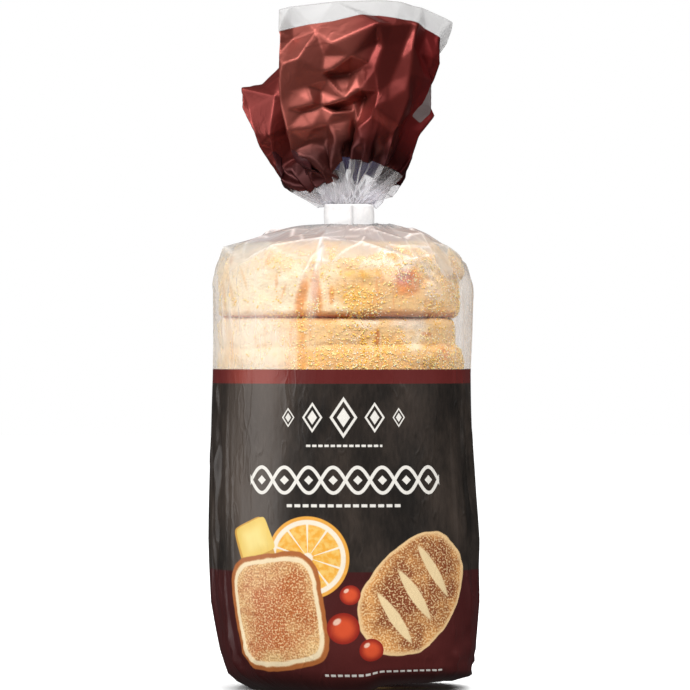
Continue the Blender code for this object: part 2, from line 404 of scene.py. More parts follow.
body = {
    # height, left, right, half depth and squareness of the filled bag
    "stations": (
        (0.4, -33, 42, 34, 2.5),
        (1.6, -37.4, 45.6, 38, 2.5),
        (6, -43.4, 48.4, 43.4, 2.6),
        (15, -46.4, 49.6, 45.6, 2.5),
        (33, -49.6, 50.8, 46.6, 2.4),
        (56, -50.4, 50.2, 46.9, 2.35),
        (92, -50.0, 48.2, 47, 2.3),
        (118, -49.2, 47.6, 47.1, 2.25),
        (147, -49.2, 48.2, 47.1, 2.2),
    ),
    "shoulderTop": 173.4,
    "shoulderRound": 2.3,
    "shoulderHold": 0.07,
    # flat facets of the slack film over the top muffin
    "facets": {
        "seed": 9, "low": 146.0, "high": 194.0, "rise": 8.0, "step": 11.0, "lift": 3.6, "sharp": 0.5,
        "fadeIn": (148, 157), "foldFade": (158, 172), "fadeOut": (184, 194), "flatness": 1.0, "gap": 0.5,
    },
    "waves": ((0.035, 0.012, 0.9), (0.09, 0.02, 0.45), (0.2, 0.06, 0.16)),  # scale across, up, and height
    "raised": (6, 15, 3.0, 15),  # the base's right part: from, to, height, and where it ends above
    "girth": 314.0,
    "columns": 400,
    "bottomRows": 8,
    "sideHeights": (0.4, 100, 34, 147, 30),  # from, to and rows of the plain part, then of the window
    "shoulderRows": 44,
    "turns": 240,
    "gap": 0.9,  # from the film to the bread
    # creases that stand up from the film: both ends as place and height, width, lift
    "creases": (
        (-9, 166, -12, 137, 2.4, 1.3), (-9.5, 165, -17, 150, 2.2, 0.9), (-6, 156, -5.5, 141, 1.2, 0.5),
        (-52, 156, -49, 134, 1.2, 0.8), (-47, 160, -43, 139, 1.1, 0.6), (-41, 162, -37, 146, 1.0, 0.5),
        (-35, 164, -29, 148, 1.2, 0.5), (-56, 150, -54, 128, 1.4, 0.8), (-44, 150, -42, 131, 0.9, 0.5),
        (27, 168, 39, 150, 1.4, 0.7), (33, 169, 46, 152, 1.3, 0.8), (20, 168, 26, 152, 1.2, 0.5),
        (52, 160, 56, 122, 1.8, 1.2), (49, 150, 50, 96, 1.2, 0.7), (14, 134, 14.5, 117, 0.9, 0.5),
        (-2, 139, -4, 127, 0.9, 0.4), (-51, 112, -50, 60, 1.3, 0.7), (-47, 98, -46.5, 40, 1.1, 0.5),
        (46, 112, 47, 48, 1.2, 0.7), (51, 92, 53, 20, 1.5, 0.8), (-53, 48, -50, 8, 1.6, 0.9),
        (43, 30, 47, 4, 1.4, 0.7), (-44, 24, -38, 3, 1.4, 0.7), (-22, 118, -20, 102, 1.4, 0.35),
        (30, 22, 36, 2, 1.2, 0.5), (-60, 90, -58, 30, 2.0, 0.9), (60, 100, 61, 30, 2.0, 0.9),
        (-59, 112, -56, 70, 4.0, -1.7), (-66, 100, -63, 50, 3.0, 1.2), (-57, 66, -60, 38, 3.0, -1.2),
        (-68, 60, -64, 20, 3.5, -1.6), (-54, 30, -50, 6, 3.0, 1.5), (-62, 22, -44, 10, 2.2, -1.2),
        (58, 112, 60, 66, 3.0, -1.5), (54, 100, 56, 60, 1.5, 0.9), (64, 110, 63, 40, 3.0, 1.4),
        (57, 64, 60, 30, 3.5, -1.7), (50, 46, 57, 12, 2.4, 1.2), (66, 60, 66, 18, 3.0, -1.6),
        (40, 16, 62, 24, 2.0, -1.2), (34, 8, 52, 14, 1.8, 1.0), (-30, 8, -46, 16, 1.8, 0.9),
        (-61, 116, -57, 94, 2.0, 1.1), (-57, 95, -62, 77, 2.0, 1.1), (-62, 79, -61, 38, 1.8, 1.0),
        (56, 116, 53, 82, 1.8, 1.1), (53, 84, 57, 48, 1.8, 1.0), (57, 50, 59, 26, 1.8, 0.9),
    ),
}


def plainMaterial(name, colour, roughness):
    made = bpy.data.materials.new(name)
    made.use_nodes = True
    shader = made.node_tree.nodes["Principled BSDF"]
    shader.inputs["Base Color"].default_value = (*colour, 1)
    shader.inputs["Roughness"].default_value = roughness
    return made


def ringPoints(station, columns):
    left, right, deep, square = station
    # even steps round the ring, found on a finely divided one
    fine = np.linspace(-math.pi, math.pi, 2049)
    x, y = shapeRing(fine, (right - left) / 2, deep, square)
    walked = np.concatenate([[0], np.cumsum(np.hypot(np.diff(x), np.diff(y)))])
    steps = np.linspace(0, walked[-1], columns, endpoint=False)
    ring = np.stack([np.interp(steps, walked, x) + (left + right) / 2, np.interp(steps, walked, y)], 1)
    return ring, walked[-1]


def bodyBase(columns):
    stations = np.array(body["stations"], float)
    low, middle, lowRows, high, highRows = body["sideHeights"]
    heights = np.concatenate([np.linspace(low, middle, lowRows, endpoint=False), np.linspace(middle, high, highRows)])
    rows = []
    girths = []
    for height in heights:
        ring, walked = ringPoints([np.interp(height, stations[:, 0], stations[:, k]) for k in (1, 2, 3, 4)], columns)
        rows.append(np.concatenate([ring, np.full((columns, 1), height)], 1))
        girths.append(walked)
    outer = rows[-1]
    neck = np.concatenate([neckRing(columns, 1), np.full((columns, 1), film["neckLow"])], 1)
    power = 2 / body["shoulderRound"]
    for turn in np.linspace(0, math.pi / 2, body["shoulderRows"])[1:]:
        spread = max(math.cos(turn), 0) ** power
        lift = math.sin(turn) ** power
        ring = neck + (outer - neck) * spread
        ring[:, 2] = outer[:, 2] + (body["shoulderTop"] - outer[:, 2]) * lift
        rows.append(ring)
    for height in (174, 177.5, 181.6):
        ring = neck.copy()
        ring[:, 2] = height
        rows.append(ring)
    return np.array(rows), np.array(girths), heights


def muffinPush(points, gap):
    # moves points out of the stacked muffins
    sizes = np.array(stack["muffins"], points.dtype)
    height = stack["height"]
    level = np.clip(np.floor(points[..., 2] / height), 0, len(sizes) - 1).astype(int)
    centre, radius = sizes[level, 0], sizes[level, 1]
    above = points[..., 2] - (level + 0.5) * height
    corner = np.where(above > 0, sizes[level, 3], sizes[level, 2])
    flatX = points[..., 0] - centre
    away = np.hypot(flatX, points[..., 1]) + 1e-6
    side = away - (radius - corner)
    rise = np.abs(above) - (height / 2 - corner)
    outSide, outRise = np.maximum(side, 0), np.maximum(rise, 0)
    reach = np.hypot(outSide, outRise)
    push = np.maximum(corner + gap - (reach + np.minimum(np.maximum(side, rise), 0)), 0)
    both = reach > 1e-4
    sideShare = np.where(both, outSide / np.maximum(reach, 1e-4), (side > rise))
    riseShare = np.where(both, outRise / np.maximum(reach, 1e-4), (side <= rise))
    points[..., 0] += flatX / away * sideShare * push
    points[..., 1] += points[..., 1] / away * sideShare * push
    points[..., 2] += np.sign(above) * riseShare * push


def liftCreases(grid, u, v):
    # tapered creases that stand up from the film
    across, up = np.meshgrid(u, v)
    lift = np.zeros_like(across)
    for startU, startV, endU, endV, width, height in body["creases"]:
        runU, runV = endU - startU, endV - startV
        length = math.hypot(runU, runV)
        along = ((across - startU) * runU + (up - startV) * runV) / length ** 2
        off = np.abs((across - startU) * runV - (up - startV) * runU) / length
        taper = np.clip(np.minimum(along, 1 - along) * 4 + 0.15, 0, 1) * ((along > -0.04) & (along < 1.04))
        swell = width * (0.45 + 0.75 * np.clip(along, 0, 1))
        lift += height * np.maximum(0, 1 - off / swell) * taper
    # the crease mark also whitens the film's haze: partly the doubled film of the crease, partly a painted highlight
    return grid + outward(grid) * lift[..., None], np.clip(lift / 1.3, 0, 0.7)


def facetShoulder(grid, u, v):
    settings = body["facets"]
    rng = np.random.default_rng(settings["seed"])
    girth, step, rise = body["girth"], settings["step"], settings["rise"]
    corners = []
    for height in np.arange(settings["low"], settings["high"] + rise, rise):
        for place in np.arange(-girth / 2, girth / 2 - step / 2, step):
            across, up, lift = rng.uniform(-0.45, 0.45, 3)
            corners.append((place + across * step, height + up * rise, lift * settings["lift"]))
    sides = [(place + side * girth, height, lift) for side in (-1, 1) for place, height, lift in corners]
    corners += [corner for corner in sides if abs(corner[0]) < girth / 2 + 3 * step]
    place, height, lift = np.array(corners, float).T
    settled = gridPlaces(grid, place, height, u, v)
    normal = gridPlaces(outward(grid), place, height, u, v)
    first = np.searchsorted(v, settings["low"])
    flat = spreadOver(corners, settled + normal * lift[:, None], u, v[first:])
    start, full = settings["fadeIn"]
    end, gone = settings["fadeOut"]
    share = np.clip((v - start) / (full - start), 0, 1) * np.clip((gone - v) / (gone - end), 0, 1)
    share = (share * settings["flatness"])[first:, None, None] * (np.abs(flat).sum(2, keepdims=True) > 1)
    result = grid.copy()
    result[first:] = grid[first:] * (1 - share) + flat * share
    muffinPush(result, settings["gap"])
    tones = [(tone,) for tone in rng.uniform(0, 1, 211)]
    layer = np.zeros(grid.shape[:2])
    layer[first:] = spreadOver(corners, [(0,)] * len(corners), u, v[first:], tones)[..., 0] * share[..., 0]
    # where the film turns sharply outward its folds are whitened: partly whitened film, partly a painted highlight
    # along the ridge
    around = np.roll(flat, 1, 1) + np.roll(flat, -1, 1) - 2 * flat
    up = np.zeros_like(flat)
    up[1:-1] = flat[2:] + flat[:-2] - 2 * flat[1:-1]
    turned = -((around + up) * outward(result)[first:]).sum(2)
    fold = np.zeros(grid.shape[:2])
    fold[first:] = np.clip(turned / settings["sharp"], 0, 1) * share[..., 0]
    fold *= np.interp(v, settings["foldFade"], (0.3, 1))[:, None]
    return result, fold, layer


def waveFilm(grid, u, v):
    # long shallow waves, so that the film doesn't shine like a tube
    around = u / body["girth"] * 2 * math.pi
    radius = body["girth"] / (2 * math.pi)
    height = np.zeros((len(v), len(u)))
    for seed, (across, up, size) in enumerate(body["waves"]):
        for row, level in enumerate(v):
            height[row] += [
                size * noise.noise((math.sin(a) * radius * across, math.cos(a) * radius * across, level * up + 9 * seed))
                for a in around
            ]
    calm = np.clip((172 - v) / 10, 0, 1)[:, None]
    return grid + outward(grid) * (height * calm)[..., None]


def raiseBase(points):
    # the base stands a little off the ground at the right
    start, full, lift, end = body["raised"]
    share = np.clip((points[..., 0] - start) / (full - start), 0, 1)
    share = share * share * (3 - 2 * share)
    points[..., 2] += lift * share * np.clip(1 - points[..., 2] / end, 0, 1)
    return points


def settleBody():
    print("settling the film round the stack")
    columns = body["columns"]
    base, girths, heights = bodyBase(columns)
    rows, sideRows = len(base), len(heights)
    restV = np.linalg.norm(np.diff(base, axis=0), axis=2).mean(1)
    u = (np.arange(columns) / columns - 0.5) * body["girth"]
    slack = np.clip((heights - 110) / 37, 0, 1)
    slack = np.concatenate([slack, np.ones(rows - sideRows)])
    low = np.concatenate([girths, np.full(rows - sideRows, body["girth"])])
    restU = (low * 1.003 + (body["girth"] - low * 1.003) * slack) / columns
    share = np.arange(columns) / columns
    walked = np.linalg.norm(np.roll(base, -1, 1) - base, axis=2).sum(1)
    ratio = np.clip(walked / (restU * columns), 0, 0.9999)
    lift = np.sqrt(1 - ratio ** 2)
    up = np.clip((np.arange(rows) - sideRows) / (rows - sideRows - 6), 0, 1)
    fine = np.clip((up - 0.2) / 0.5, 0, 1)
    waves = fine[:, None] * tri(unevenPhase(share, 34, 21)) * body["girth"] / 136
    waves = waves + (1 - fine)[:, None] * tri(unevenPhase(share, 17, 22)) * body["girth"] / 68
    grid = base + outward(base) * (lift[:, None] * waves)[..., None] * 0.9
    grid[-4:] = base[-4:] + (grid[-4:] - base[-4:]) * 0.25  # pressed together under the band
    grid = grid.astype(np.float32)
    free = np.ones((rows, columns, 1), np.float32)
    free[0] = 0
    free[-4:] = 0
    restU = restU.astype(np.float32)[:, None, None]
    restV = np.repeat(restV[:, None, None], columns, 1).astype(np.float32)
    hold = np.zeros((rows, 1, 1), np.float32)
    hold[:sideRows, 0, 0] = 0.2 * (1 - slack[:sideRows]) + 0.02
    hold[sideRows:-4, 0, 0] = body["shoulderHold"]
    target = base.astype(np.float32)
    rng = np.random.default_rng(5)
    before = grid.copy()
    for turn in range(body["turns"]):
        ahead = grid + 0.88 * (grid - before) * free
        before = grid
        grid = ahead
        if turn < 40:
            grid += rng.normal(0, 0.05, grid.shape).astype(np.float32) * free
        for _ in range(2):
            sweepLinks(grid, free, restU, restV, 0.12, 0.985)
        grid += (target - grid) * hold
        muffinPush(grid, body["gap"])
        grid[..., 2] = np.maximum(grid[..., 2], 0.3)
    above = heights[-1] + np.cumsum(restV[sideRows - 1:, 0, 0])
    v = np.concatenate([heights, above])
    grid, fold, layer = facetShoulder(grid, u, v)
    grid, crease = liftCreases(waveFilm(grid, u, v), u, v)
    crease = np.maximum(crease, fold)
    # the film tucked under the stack to its flat seal
    seal = grid[0].copy()
    seal[:, 1] *= 0.02
    seal[:, 2] = 0.35
    shares = np.arange(body["bottomRows"])[:, None, None] / body["bottomRows"]
    under = seal + (grid[0] - seal) * shares
    v = np.concatenate([np.linspace(-40, 0, body["bottomRows"], endpoint=False), v])
    tucked = np.zeros((body["bottomRows"], columns))
    marks = {"crease": np.concatenate([tucked, crease]), "layer": np.concatenate([tucked, layer])}
    return raiseBase(np.concatenate([under, grid])), v, marks


def srgb(red, green, blue):
    return tuple(((c / 255 + 0.055) / 1.055) ** 2.4 if c > 10 else c / 3294 for c in (red, green, blue))


def newMaterial(name):
    made = bpy.data.materials.new(name)
    made.use_nodes = True
    return made, made.node_tree, made.node_tree.nodes["Principled BSDF"]


def feed(tree, socket, value):
    if isinstance(value, bpy.types.NodeSocket):
        tree.links.new(value, socket)
    elif value is not None:
        socket.default_value = (*value, 1) if socket.type == "RGBA" and len(value) == 3 else value


def calc(tree, operation, *values):
    node = tree.nodes.new("ShaderNodeMath")
    node.operation = operation
    for socket, value in zip(node.inputs, values):
        feed(tree, socket, value)
    return node.outputs[0]


def blendColour(tree, share, low, high):
    node = tree.nodes.new("ShaderNodeMix")
    node.data_type = "RGBA"
    feed(tree, node.inputs[0], share)
    feed(tree, node.inputs[6], low)
    feed(tree, node.inputs[7], high)
    return node.outputs[2]


def stepUp(tree, value, start, end):
    node = tree.nodes.new("ShaderNodeMapRange")
    node.interpolation_type = "SMOOTHSTEP"
    feed(tree, node.inputs["Value"], value)
    node.inputs["From Min"].default_value = start
    node.inputs["From Max"].default_value = end
    return node.outputs[0]


def cloud(tree, place, scale, detail=2.0, rough=0.5):
    node = tree.nodes.new("ShaderNodeTexNoise")
    feed(tree, node.inputs["Vector"], place)
    node.inputs["Scale"].default_value = scale
    node.inputs["Detail"].default_value = detail
    node.inputs["Roughness"].default_value = rough
    return node.outputs["Fac"]


def stretched(tree, place, scale):
    node = tree.nodes.new("ShaderNodeMapping")
    feed(tree, node.inputs["Vector"], place)
    node.inputs["Scale"].default_value = scale
    return node.outputs[0]


def moved(tree, place, centre, half, turn):
    # places in a shape's own coordinates, where its edge is at 1
    node = tree.nodes.new("ShaderNodeMapping")
    node.vector_type = "TEXTURE"
    feed(tree, node.inputs["Vector"], place)
    node.inputs["Location"].default_value = (*centre, 0)
    node.inputs["Rotation"].default_value = (0, 0, math.radians(turn))
    node.inputs["Scale"].default_value = (*half, 1)
    return node.outputs[0]


def split(tree, vector):
    node = tree.nodes.new("ShaderNodeSeparateXYZ")
    feed(tree, node.inputs[0], vector)
    return node.outputs[:3]


def shapeMask(tree, place, centre, half, turn=0, square=2.0, wobble=None, soft=0.02):
    # an oval, a lozenge where square is 1, or a rounded oblong where it is more than 2
    x, y, _ = split(tree, moved(tree, place, centre, half, turn))
    if square == 1:
        away = calc(tree, "ADD", calc(tree, "ABSOLUTE", x), calc(tree, "ABSOLUTE", y))
    else:
        powers = [calc(tree, "POWER", calc(tree, "ABSOLUTE", axis), square) for axis in (x, y)]
        away = calc(tree, "POWER", calc(tree, "ADD", *powers), 1 / square)
    if wobble is not None:
        away = calc(tree, "ADD", away, wobble)
    return calc(tree, "SUBTRACT", 1.0, stepUp(tree, away, 1 - soft, 1 + soft)), away


def between(tree, value, low, high, soft):
    rise = stepUp(tree, value, low - soft, low + soft)
    return calc(tree, "MULTIPLY", rise, calc(tree, "SUBTRACT", 1.0, stepUp(tree, value, high - soft, high + soft)))


def bump(tree, height, strength, depth, normal=None):
    node = tree.nodes.new("ShaderNodeBump")
    feed(tree, node.inputs["Strength"], strength)
    node.inputs["Distance"].default_value = depth
    feed(tree, node.inputs["Height"], height)
    if normal is not None:
        feed(tree, node.inputs["Normal"], normal)
    return node.outputs[0]


def newGroup(name, inputs, outputs):
    group = bpy.data.node_groups.new(name, "ShaderNodeTree")
    for title, kind in inputs.items():
        group.interface.new_socket(name=title, in_out="INPUT", socket_type=f"NodeSocket{kind}")
    for title, kind in outputs.items():
        group.interface.new_socket(name=title, in_out="OUTPUT", socket_type=f"NodeSocket{kind}")
    given = group.nodes.new("NodeGroupInput").outputs
    return group, given, group.nodes.new("NodeGroupOutput").inputs


def useGroup(tree, group, values):
    made = tree.nodes.new("ShaderNodeGroup")
    made.node_tree = group
    for title, value in values.items():
        feed(tree, made.inputs[title], value)
    return made.outputs[0]


def crinkleGroup():
    # sharp creases that run and branch over patches of film, with soft dents between them
    group, given, result = newGroup("filmCrinkle", {"Place": "Vector", "Strength": "Float"}, {"Normal": "Vector"})
    place = given["Place"]
    line = calc(group, "ABSOLUTE", calc(group, "SUBTRACT", cloud(group, place, 1.0, 2, 0.55), 0.5))
    crease = calc(group, "SUBTRACT", 1.0, stepUp(group, line, 0.0, 0.045))
    patch = stepUp(group, cloud(group, stretched(group, place, (0.45, 0.45, 1)), 1.0, 1, 0.5), 0.42, 0.62)
    dents = cloud(group, stretched(group, place, (1.7, 1.7, 1)), 1.0, 2, 0.5)
    height = calc(group, "MULTIPLY_ADD", calc(group, "MULTIPLY", crease, patch), 0.45, dents)
    feed(group, result["Normal"], bump(group, height, given["Strength"], 0.0012))
    return group


def filmPlace(tree):
    # place on the flat film, in millimetres
    node = tree.nodes.new("ShaderNodeUVMap")
    node.uv_map = "film"
    big = tree.nodes.new("ShaderNodeVectorMath")
    big.operation = "SCALE"
    feed(tree, big.inputs[0], node.outputs[0])
    big.inputs["Scale"].default_value = 1000
    return big.outputs[0]


def finishFilm(tree, printed, colour, haze, look, normal, wornAndLit=0.0):
    # clear film where printed is 0, and glossy ink under film where it is 1
    nodes = tree.nodes
    ink = nodes["Principled BSDF"]
    feed(tree, ink.inputs["Base Color"], colour)
    feed(tree, ink.inputs["Normal"], normal)
    ink.inputs["Roughness"].default_value = look["inkRough"]
    clear = nodes.new("ShaderNodeBsdfPrincipled")
    # wornAndLit blends the milk towards a whiter one: partly worn, whitened creases, partly painted light
    milk = blendColour(tree, wornAndLit, look["milk"], look["wornAndLitMilk"])
    feed(tree, clear.inputs["Base Color"], milk)
    clear.inputs["Roughness"].default_value = 0.22
    clear.inputs["IOR"].default_value = 2.0
    feed(tree, clear.inputs["Normal"], normal)
    through = nodes.new("ShaderNodeBsdfTransparent")
    through.inputs[0].default_value = (*look["passed"], 1)
    facing = nodes.new("ShaderNodeLayerWeight")
    facing.inputs["Blend"].default_value = 0.25
    share = calc(tree, "MULTIPLY_ADD", facing.outputs["Facing"], look["grazing"], haze)
    lit = nodes.new("ShaderNodeBsdfTranslucent")
    feed(tree, lit.inputs[0], milk)
    milky = nodes.new("ShaderNodeMixShader")
    milky.inputs[0].default_value = 0.4
    tree.links.new(clear.outputs[0], milky.inputs[1])
    tree.links.new(lit.outputs[0], milky.inputs[2])
    # light that the haze scatters goes on forwards, so clear film casts next to no shadow
    path = nodes.new("ShaderNodeLightPath")
    share = calc(tree, "MULTIPLY", share, calc(tree, "SUBTRACT", 1.0, path.outputs["Is Shadow Ray"]))
    glass = nodes.new("ShaderNodeMixShader")
    feed(tree, glass.inputs[0], share)
    tree.links.new(through.outputs[0], glass.inputs[1])
    tree.links.new(milky.outputs[0], glass.inputs[2])
    both = nodes.new("ShaderNodeMixShader")
    feed(tree, both.inputs[0], printed)
    tree.links.new(glass.outputs[0], both.inputs[1])
    tree.links.new(ink.outputs[0], both.inputs[2])
    tree.links.new(both.outputs[0], nodes["Material Output"].inputs["Surface"])


design = {
    # heights of the printed fields on the film, then their inks
    "lowerEnd": 45.2,
    "stripeStart": 114.4,
    "printEnd": 119.6,
    "lowerInk": srgb(66, 22, 22),
    "charcoalInk": srgb(26, 22, 19),
    "chalkInk": srgb(66, 56, 49),
    "stripeInk": srgb(100, 32, 30),
    "paleInk": srgb(238, 234, 226),
    # rows of the pale ornament: centre of a lozenge along the row, and its half width and height
    "lozenges": ((0.5, 5.2, 7.6), (-11.2, 3.8, 5.6), (12.2, 3.8, 5.6), (-20.4, 2.4, 3.6), (21.4, 2.4, 3.6)),
    "lozengeHeight": 102.0,
    # dashed rules: height, left, right, dash pitch and half thickness
    "rules": ((91.6, -14, 15, 2.3, 0.42), (69.6, -21, 21.5, 3.1, 0.55), (7.2, -10, 38, 2.7, 0.42)),
    "braid": {"middle": 79.0, "rise": 4.7, "left": -35.5, "right": 37.5, "pitch": 9.125, "half": 0.62, "heart": 1.7},
}


def dashRule(tree, x, y, rule):
    height, left, right, pitch, half = rule
    dash = between(tree, calc(tree, "FRACT", calc(tree, "DIVIDE", x, pitch)), 0.15, 0.85, 0.06)
    mask = calc(tree, "MULTIPLY", dash, between(tree, x, left, right, 0.2))
    return calc(tree, "MULTIPLY", mask, between(tree, y, height - half, height + half, 0.14))


def braidRow(tree, x, y):
    # two waves that cross, with a small lozenge in each eye between them
    row = design["braid"]
    steps = calc(tree, "DIVIDE", calc(tree, "SUBTRACT", x, row["left"]), row["pitch"])
    phase = calc(tree, "MULTIPLY", steps, math.pi)
    wave = calc(tree, "MULTIPLY", calc(tree, "ABSOLUTE", calc(tree, "SINE", phase)), row["rise"])
    slope = calc(tree, "MULTIPLY", calc(tree, "COSINE", phase), row["rise"] * math.pi / row["pitch"])
    steep = calc(tree, "SQRT", calc(tree, "MULTIPLY_ADD", slope, slope, 1.0))
    up = calc(tree, "ABSOLUTE", calc(tree, "SUBTRACT", y, row["middle"]))
    off = calc(tree, "DIVIDE", calc(tree, "ABSOLUTE", calc(tree, "SUBTRACT", up, wave)), steep)
    mask = calc(tree, "SUBTRACT", 1.0, stepUp(tree, off, row["half"] - 0.1, row["half"] + 0.1))
    across = calc(tree, "ABSOLUTE", calc(tree, "SUBTRACT", calc(tree, "FRACT", steps), 0.5))
    far = calc(tree, "MULTIPLY_ADD", across, row["pitch"], up)
    mask = calc(tree, "MAXIMUM", mask, calc(tree, "SUBTRACT", 1.0, stepUp(tree, far, row["heart"] - 0.1, row["heart"] + 0.1)))
    return calc(tree, "MULTIPLY", mask, between(tree, x, row["left"] - 0.5, row["right"] + 0.5, 0.1))


def paleOrnament(tree, place, x, y):
    masks = [dashRule(tree, x, y, rule) for rule in design["rules"]]
    masks.append(braidRow(tree, x, y))
    for centre, wide, high in design["lozenges"]:
        at = (centre, design["lozengeHeight"])
        outer, away = shapeMask(tree, place, at, (wide, high), 0, 1, None, 0.03)
        ring = calc(tree, "MULTIPLY", outer, stepUp(tree, away, 0.76, 0.80))
        heart = calc(tree, "SUBTRACT", 1.0, stepUp(tree, away, 0.44, 0.50))
        masks.append(calc(tree, "MAXIMUM", ring, heart))
    mask = masks[0]
    for other in masks[1:]:
        mask = calc(tree, "MAXIMUM", mask, other)
    return mask


def printLayout(tree):
    place = filmPlace(tree)
    x, y, _ = split(tree, place)
    # paler slate and red stripe over the left third: partly the doubled film there, partly a painted sheen of the light
    # from the left
    leftBand = between(tree, x, -48, -23, 8)
    slate = blendColour(tree, calc(tree, "MULTIPLY", leftBand, 0.4), chalky(tree, place), srgb(112, 99, 89))
    above = stepUp(tree, y, design["lowerEnd"] - 0.25, design["lowerEnd"] + 0.25)
    colour = blendColour(tree, above, design["lowerInk"], slate)
    glow, _ = shapeMask(tree, place, (14, 14), (34, 22), 0, 2, None, 0.9)
    colour = blendColour(tree, calc(tree, "MULTIPLY", glow, calc(tree, "SUBTRACT", 0.5, stepUp(tree, y, 38, 45.2))), colour, srgb(104, 38, 34))
    stripe = blendColour(tree, calc(tree, "MULTIPLY", leftBand, 0.75), design["stripeInk"], srgb(156, 68, 56))
    colour = blendColour(tree, stepUp(tree, y, design["stripeStart"] - 0.15, design["stripeStart"] + 0.15), colour, stripe)
    printed = calc(tree, "SUBTRACT", 1.0, stepUp(tree, y, design["printEnd"] - 0.15, design["printEnd"] + 0.15))
    edge = calc(tree, "MULTIPLY", calc(tree, "SUBTRACT", cloud(tree, place, 0.10, 2), 0.5), 0.12)
    colour = citrusWheel(tree, place, colour, (-13.5, 50.5), 15.2, edge)
    colour = butterPat(tree, place, colour)
    colour = toastSlice(tree, place, colour, (-27.0, 30.5), (19.0, 21.5), 7, edge)
    colour = ovalRoll(tree, place, colour, (26.5, 37.0), (25.5, 17.5), 47, edge)
    for centre, reach in (((-1.5, 24.5), 6.2), ((8.6, 16.5), 4.6), ((1.6, 36.8), 3.9)):
        colour = redRound(tree, place, colour, centre, reach)
    colour = blendColour(tree, paleOrnament(tree, place, x, y), colour, design["paleInk"])
    return place, printed, colour


def chalky(tree, place):
    # the dark field has the wiped look of a slate board
    soft = cloud(tree, stretched(tree, place, (0.05, 0.022, 1)), 1.0, 4, 0.6)
    fine = cloud(tree, stretched(tree, place, (0.9, 0.25, 1)), 1.0, 3, 0.6)
    tone = calc(tree, "MULTIPLY_ADD", fine, 0.22, soft)
    return blendColour(tree, stepUp(tree, tone, 0.42, 0.86), design["charcoalInk"], design["chalkInk"])


def toastTone(tree, place, away, pale, deep):
    # browned in the middle, and speckled with coarse flour
    soft = cloud(tree, place, 0.085, 3, 0.6)
    speck = cloud(tree, place, 1.45, 1.0, 0.4)
    brown = calc(tree, "SUBTRACT", calc(tree, "MULTIPLY_ADD", soft, 1.6, 0.05), calc(tree, "MULTIPLY", away, 0.55))
    tone = blendColour(tree, stepUp(tree, brown, 0.15, 0.75), pale, deep)
    tone = blendColour(tree, calc(tree, "MULTIPLY", stepUp(tree, speck, 0.52, 0.62), 0.62), tone, srgb(252, 222, 170))
    return blendColour(tree, calc(tree, "MULTIPLY", stepUp(tree, speck, 0.48, 0.38), 0.35), tone, srgb(112, 52, 30))


def toastSlice(tree, place, colour, centre, half, turn, edge):
    mask, away = shapeMask(tree, place, centre, half, turn, 4.2, edge, 0.012)
    tone = toastTone(tree, place, away, srgb(240, 196, 134), srgb(196, 112, 58))
    holes = tree.nodes.new("ShaderNodeTexVoronoi")
    feed(tree, holes.inputs["Vector"], place)
    holes.inputs["Scale"].default_value = 0.2
    pores = calc(tree, "MULTIPLY", calc(tree, "SUBTRACT", 1.0, stepUp(tree, holes.outputs["Distance"], 0.12, 0.26)), 0.5)
    tone = blendColour(tree, pores, tone, srgb(168, 92, 48))
    tone = blendColour(tree, between(tree, away, 0.84, 0.915, 0.015), tone, srgb(250, 228, 188))
    tone = blendColour(tree, stepUp(tree, away, 0.90, 0.94), tone, srgb(178, 104, 52))
    return blendColour(tree, mask, colour, tone)


def ovalRoll(tree, place, colour, centre, half, turn, edge):
    mask, away = shapeMask(tree, place, centre, half, turn, 2.3, edge, 0.012)
    tone = toastTone(tree, place, away, srgb(232, 168, 100), srgb(140, 72, 38))
    own = moved(tree, place, centre, half, turn)
    for at in (-0.48, -0.02, 0.44):
        slash, _ = shapeMask(tree, own, (at, 0.02), (0.085, 0.62), -9, 1.6, calc(tree, "MULTIPLY", edge, 2), 0.12)
        tone = blendColour(tree, calc(tree, "MULTIPLY", slash, 0.9), tone, srgb(248, 222, 172))
    tone = blendColour(tree, stepUp(tree, away, 0.9, 0.99), tone, srgb(242, 204, 150))
    return blendColour(tree, mask, colour, tone)


def citrusWheel(tree, place, colour, centre, reach, edge):
    mask, away = shapeMask(tree, place, centre, (reach, reach), 0, 2, None, 0.012)
    x, y, _ = split(tree, moved(tree, place, centre, (reach, reach), 18))
    turn = calc(tree, "DIVIDE", calc(tree, "ARCTAN2", y, x), 2 * math.pi / 10)
    rib = calc(tree, "ABSOLUTE", calc(tree, "SUBTRACT", calc(tree, "FRACT", turn), 0.5))
    flesh = calc(tree, "MULTIPLY", stepUp(tree, calc(tree, "SUBTRACT", 0.5, rib), 0.03, 0.075), between(tree, away, 0.12, 0.8, 0.02))
    pulp = cloud(tree, place, 0.5, 2, 0.5)
    tone = blendColour(tree, stepUp(tree, pulp, 0.35, 0.65), srgb(246, 176, 62), srgb(250, 204, 110))
    tone = blendColour(tree, flesh, srgb(250, 238, 216), tone)
    tone = blendColour(tree, stepUp(tree, away, 0.9, 0.93), tone, srgb(240, 172, 72))
    return blendColour(tree, mask, colour, tone)


def butterPat(tree, place, colour):
    side, _ = shapeMask(tree, place, (-35.2, 55.6), (7.4, 8.2), 22, 9, None, 0.02)
    colour = blendColour(tree, side, colour, srgb(214, 162, 70))
    top, away = shapeMask(tree, place, (-34.6, 57.2), (7.4, 6.4), 22, 9, None, 0.02)
    return blendColour(tree, top, colour, blendColour(tree, stepUp(tree, away, 0.2, 1.0), srgb(250, 226, 140), srgb(240, 204, 104)))


def redRound(tree, place, colour, centre, reach):
    mask, away = shapeMask(tree, place, centre, (reach, reach * 0.92), 20, 2, None, 0.02)
    tone = blendColour(tree, stepUp(tree, away, 0.35, 1.0), srgb(222, 84, 46), srgb(150, 36, 24))
    shine, _ = shapeMask(tree, place, (centre[0] - reach * 0.35, centre[1] + reach * 0.4), (reach * 0.26, reach * 0.16), 35, 2, None, 0.3)
    tone = blendColour(tree, calc(tree, "MULTIPLY", shine, 0.8), tone, srgb(250, 214, 190))
    return blendColour(tree, mask, colour, tone)


